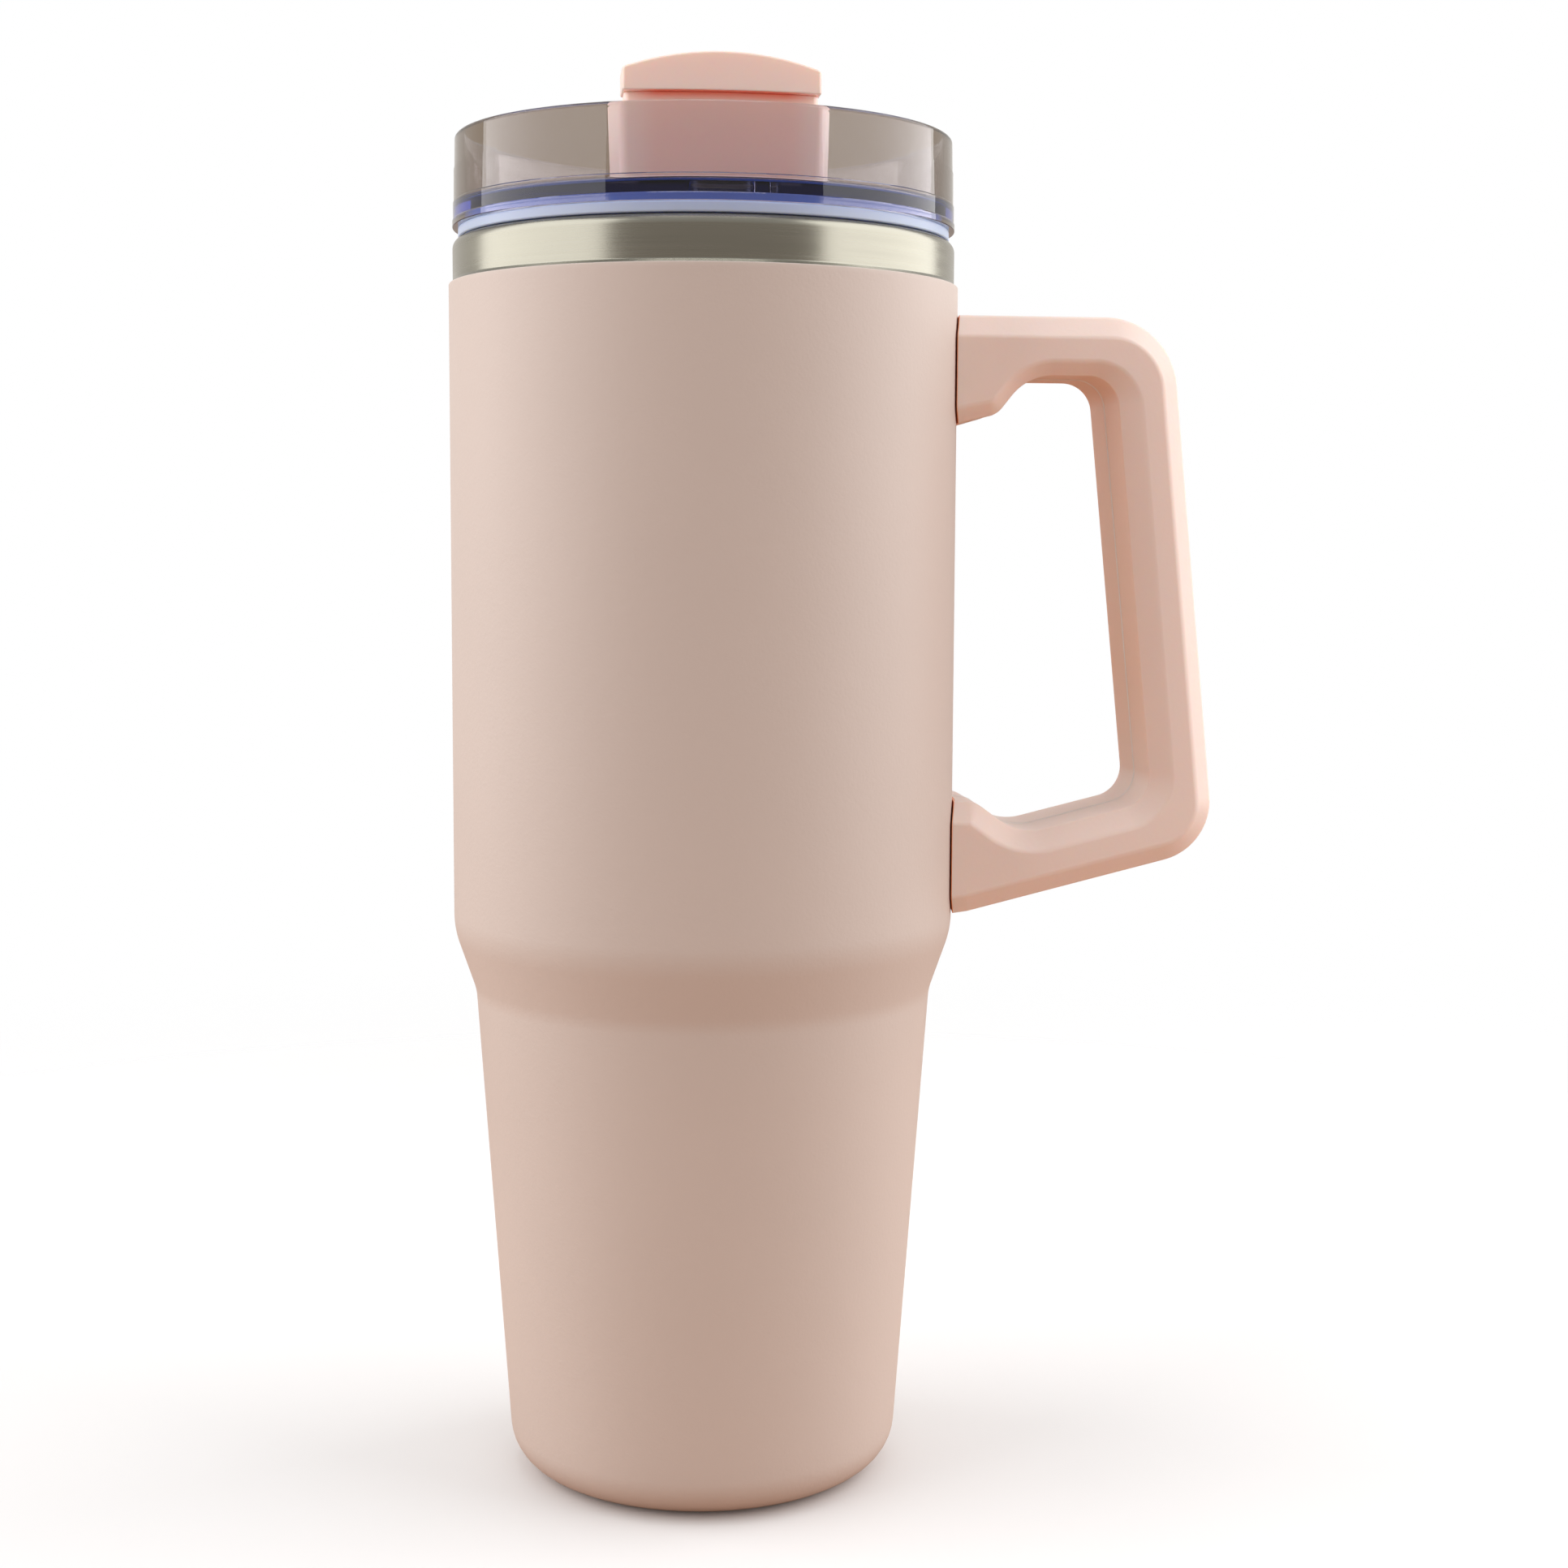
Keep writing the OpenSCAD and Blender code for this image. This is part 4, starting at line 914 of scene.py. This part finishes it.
def tab_block(name):
    """The block as outlines stacked in height: inset along quarter circles where an edge is round,
    and over the groove by its depth. The cap's top follows a circle across X and closes in the middle."""
    bottom_r, lip_r, crease_r, top_r = 0.4, 0.35, 0.25, 0.5
    block_corner, cap_corner, cap_side = 2.4, 0.7, 0.3
    groove = (1.2, 1.95, 0.7, True)  # corner radius, depth in front, depth at the sides, straight
    levels = []
    edge = np.linspace(0, pi / 2, 6)

    def level(z, inset, corner, front=0.0, side=0.0, straight=False):
        levels.append((tab_outline(inset + front, inset + side, inset, corner, straight), z))

    for a in edge:
        level(cover_z + bottom_r * (1 - sin(a)), bottom_r * (1 - cos(pi / 2 - a)), block_corner)
    levels.reverse()
    for a in edge:
        level(groove_z - lip_r + lip_r * sin(a), lip_r * (1 - cos(a)), block_corner)
    for a in edge:
        level(groove_z + crease_r * (1 - cos(a)), crease_r * (1 - sin(a)), *groove)
    for a in edge:
        level(cap_z - crease_r + crease_r * sin(a), crease_r * (1 - cos(a)), *groove)
    for a in edge:
        level(cap_z + crease_r * (1 - cos(a)), crease_r * (1 - sin(a)), cap_corner, 0.0, cap_side, True)
    rings = [np.column_stack([plan, np.full(len(plan), z)]) for plan, z in levels]
    for a in edge:
        inset = top_r * (1 - cos(a))
        plan = tab_outline(inset, cap_side + inset, inset, cap_corner, True)
        crown = cap_top - crown_r + np.sqrt(crown_r**2 - plan[:, 0] ** 2)
        rings.append(np.column_stack([plan, crown - top_r * (1 - sin(a))]))
    rim = rings[-1][:, :2]
    middle = np.array([0, (tab_front + tab_back) / 2])
    for share in np.linspace(1, 0, 9)[1:]:
        plan = middle + share * (rim - middle)
        crown = cap_top - crown_r + np.sqrt(crown_r**2 - plan[:, 0] ** 2)
        rings.append(np.column_stack([plan, crown]))
    foot = rings[0].copy()
    foot[:, :2] = middle
    return lofted(name, np.stack([foot] + rings), caps=False)


flip_cover = tab_block("flip_cover_pink")
arm_w, arm_in_w, arm_roof, arm_roof_front = 30.0, 26.0, 5.5, 8.5
arm_z, arm_rear = hinge_z - arm_roof, hinge_y + arm_roof
arm_corners = [
    [tab_back - 1, arm_z, 0],
    [arm_rear, arm_z, arm_roof - 0.01],
    [arm_rear, hinge_z + arm_roof, arm_roof - 0.01],
    [hinge_y, hinge_z + arm_roof, 0],
    [tab_back - 1, hinge_z + arm_roof_front, 0],
]
arm_outline = line_of(arm_corners)
soft, turn = 0.8, np.linspace(pi / 2, 0, 6)
end_x, end_in = soft * (1 - np.sin(turn)), soft * (1 - np.cos(turn))
arm_x = np.concatenate([end_x - arm_w / 2, (arm_w / 2 - end_x)[::-1]])
arm_in = np.concatenate([end_in, end_in[::-1]])
arm_middle = np.array([(tab_back + hinge_y) / 2, hinge_z])
arm_half = np.abs(arm_outline - arm_middle).max(0)
arm_rings = np.empty((len(arm_x), len(arm_outline), 3))
arm_rings[..., 0] = arm_x[:, None]
arm_rings[..., 1:] = arm_middle + (arm_outline - arm_middle) * (1 - arm_in[:, None, None] / arm_half)
carve(flip_cover, lofted("arm", arm_rings), "UNION")
inside_front, past_rear = tab_back - 3, arm_rear + 1
block_hollow = tab_outline(cover_wall, cover_wall, 1.6, 0.6)
carve(flip_cover, upright("block_hollow", block_hollow, cover_z - 1, groove_z - cover_wall))
arm_hollow = [
    [inside_front, cover_z - 1],
    [past_rear, cover_z - 1],
    [past_rear, hinge_z + arm_roof_front],
    [hinge_y, hinge_z + arm_roof_front],
    [hinge_y, hinge_z + arm_roof - cover_wall],
    [inside_front, hinge_z + arm_roof_front - cover_wall],
]
carve(flip_cover, bar_along_x("arm_hollow", np.array(arm_hollow), -arm_in_w / 2, arm_in_w / 2))
carve(flip_cover, disc_bar("pin_bore", (hinge_y, hinge_z), -bore_end, bore_end, pin_r + 0.05, 0))
smooth(flip_cover, weighted=True)
cover_pink = (0.94, 0.735, 0.665)
cover_plastic = moulded(
    "glossy cover plastic", cover_pink, 0.30, 400.0, 0.000006, 0.012,
    Subsurface_Weight=0.35, Subsurface_Radius=(0.004, 0.0016, 0.0009), Subsurface_Scale=1.0,
)

# Painted light in the base colour: a red glow is painted in the groove for light that soaks through
# the cap, most right under the cap and none at the ends. A warm glow is also painted on the block's
# front below the groove.
tree = cover_plastic.node_tree
principled = tree.nodes["Principled BSDF"]
sideways, back, up = parts_of(tree, object_place(tree))
front_depth, inner_x, outer_x, painted_warm_share = 4, 11.0, 17.5, 0.6
in_front = calc(tree, "LESS_THAN", back, (tab_front + front_depth) * mm)
outwards = ramp(tree, calc(tree, "ABSOLUTE", sideways), inner_x * mm, outer_x * mm)
on_front = calc(tree, "MULTIPLY", in_front, calc(tree, "SUBTRACT", 1.0, outwards))
under_cap = ramp(tree, up, groove_z * mm, (cap_z - 0.1) * mm)
below_cap = calc(tree, "LESS_THAN", up, (cap_z + 0.02) * mm)
# Painted red glow in the groove under the cap.
painted_groove_glow = calc(tree, "MULTIPLY", calc(tree, "MULTIPLY", under_cap, below_cap), on_front)
below_groove = calc(tree, "LESS_THAN", up, (groove_z - 0.3) * mm)
# Painted warm light on the block's front below the groove.
painted_warmth = calc(tree, "MULTIPLY", calc(tree, "MULTIPLY", below_groove, on_front), painted_warm_share)
tone = principled.inputs["Base Color"].links[0].from_socket
tone = blend(tree, painted_warmth, tone, (0.90, 0.52, 0.45, 1))
tone = blend(tree, painted_groove_glow, tone, (0.95, 0.34, 0.24, 1))
tree.links.new(tone, principled.inputs["Base Color"])
dress(flip_cover, cover_plastic)
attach(flip_cover, "cover")
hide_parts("flip_cover")
plate_plastic = moulded("pale plate plastic", (0.78, 0.73, 0.70), 0.45, 900.0, 0.00001)
stopper_silicone = moulded("pale stopper silicone", (0.76, 0.66, 0.62), 0.5, 900.0, 0.00001)
dress(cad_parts["cover_insert"], plate_plastic)
dress(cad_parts["drink_stopper"], stopper_silicone)

# ---- Studio ------------------------------------------------------------------------------------
# A pale table whose edge melts into a white room, a large soft lamp on each side of the object and a
# weaker one above. The room's warm dim walls, and the table's brown, show only in reflections and in
# bounced light; the far wall is browner still through the clear lid.

camera_at = np.array([-0.0385, -0.4887, 0.1884])
heading, pitch, roll = radians(6.4), radians(5.78), radians(0.26)
ahead = np.array([sin(heading) * cos(pitch), cos(heading) * cos(pitch), -sin(pitch)])
right = np.array([cos(heading), -sin(heading), 0.0])
up = np.cross(right, ahead)
right, up = cos(roll) * right + sin(roll) * up, -sin(roll) * right + cos(roll) * up
turned = np.eye(4)
turned[:3, 0], turned[:3, 1], turned[:3, 2], turned[:3, 3] = right, up, -ahead, camera_at
camera = bpy.data.objects.new("camera", bpy.data.cameras.new("camera"))
camera.data.sensor_width, camera.data.lens = 36.0, 56.1
camera.data.clip_start, camera.data.clip_end = 0.01, 50.0
camera.matrix_world = Matrix(turned.tolist())
bpy.context.scene.collection.objects.link(camera)
bpy.context.scene.camera = camera
bpy.context.scene.view_settings.view_transform = "Standard"

table_r, table_drop, fade_from, fade_to = 1.2, 0.0002, 0.12, 0.6
radius, angle = np.meshgrid(np.linspace(0, table_r, 25), np.linspace(0, 2 * pi, 97)[:-1], indexing="ij")
rings = np.stack([radius * np.cos(angle), radius * np.sin(angle), 0 * radius - table_drop], -1) / mm
floor = lofted("table_top", rings, caps=False)
table_paint, tree, principled = shader("pale table", Roughness=0.6)
at = object_place(tree)
tone = place(tree, mottle, Vector=at, Color=(0.86, 0.86, 0.86, 1), Scale=6.0, Change=0.01)
seen = tree.nodes.new("ShaderNodeLightPath").outputs["Is Camera Ray"]
tree.links.new(blend(tree, seen, (0.50, 0.29, 0.19, 1), tone["Color"]), principled.inputs["Base Color"])
faded = ramp(tree, length_of(tree, at), fade_from, fade_to)
tree.links.new(calc(tree, "SUBTRACT", 1.0, faded), principled.inputs["Alpha"])
dress(floor, table_paint)


def lamp(name, at, target, size, power, colour):
    """A soft rectangular lamp at a place, facing its target, that the camera doesn't see."""
    light = bpy.data.lights.new(name, "AREA")
    light.shape, light.size, light.size_y = "RECTANGLE", *size
    light.energy, light.color = power, colour
    thing = bpy.data.objects.new(name, light)
    back = np.array(at) - np.array(target)
    back = back / np.linalg.norm(back)
    nearly_upright = abs(back[2]) > 0.99
    side = np.array([1.0, 0, 0]) if nearly_upright else np.cross([0, 0, 1], back)
    side = side / np.linalg.norm(side)
    matrix = np.eye(4)
    matrix[:3, 0], matrix[:3, 1], matrix[:3, 2], matrix[:3, 3] = side, np.cross(back, side), back, at
    thing.matrix_world = Matrix(matrix.tolist())
    thing.visible_camera = False
    bpy.context.scene.collection.objects.link(thing)


lamp("left lamp", (-0.85, -0.12, 0.78), (0, -0.12, 0.78), (1.3, 1.5), 11.5, (1.0, 0.995, 1.0))
lamp("right lamp", (0.85, -0.10, 0.78), (0, -0.10, 0.78), (1.3, 1.5), 13.0, (1.0, 0.995, 1.0))
lamp("top lamp", (0.0, 0.05, 1.5), (0, 0, 0.2), (0.7, 0.7), 3.0, (1.0, 0.99, 0.98))

world = bpy.data.worlds.new("room")
bpy.context.scene.world = world
world.use_nodes = True
tree = world.node_tree
_, back, up = parts_of(tree, tree.nodes.new("ShaderNodeTexCoord").outputs["Generated"])
near_wall, far_wall, brown_wall = (0.42, 0.39, 0.365, 1), (0.82, 0.785, 0.74, 1), (0.26, 0.195, 0.125, 1)
ceiling, ground = (0.60, 0.59, 0.59, 1), (0.34, 0.17, 0.10, 1)
level = blend(tree, ramp(tree, back, -0.4, 0.5), near_wall, far_wall)
above = blend(tree, ramp(tree, up, 0.1, 0.7), level, ceiling)
around = blend(tree, ramp(tree, up, -0.25, 0.02), ground, above)
rays = tree.nodes.new("ShaderNodeLightPath").outputs
through_lid = calc(tree, "MULTIPLY", rays["Is Transmission Ray"], ramp(tree, back, 0.1, 0.6))
around = blend(tree, through_lid, around, brown_wall)
walls = tree.nodes["Background"]
tree.links.new(around, walls.inputs["Color"])
white = tree.nodes.new("ShaderNodeBackground")
white.inputs["Color"].default_value = (1, 1, 1, 1)
room = mixed(tree, rays["Is Camera Ray"], walls.outputs[0], white.outputs[0])
tree.links.new(room, tree.nodes["World Output"].inputs["Surface"])
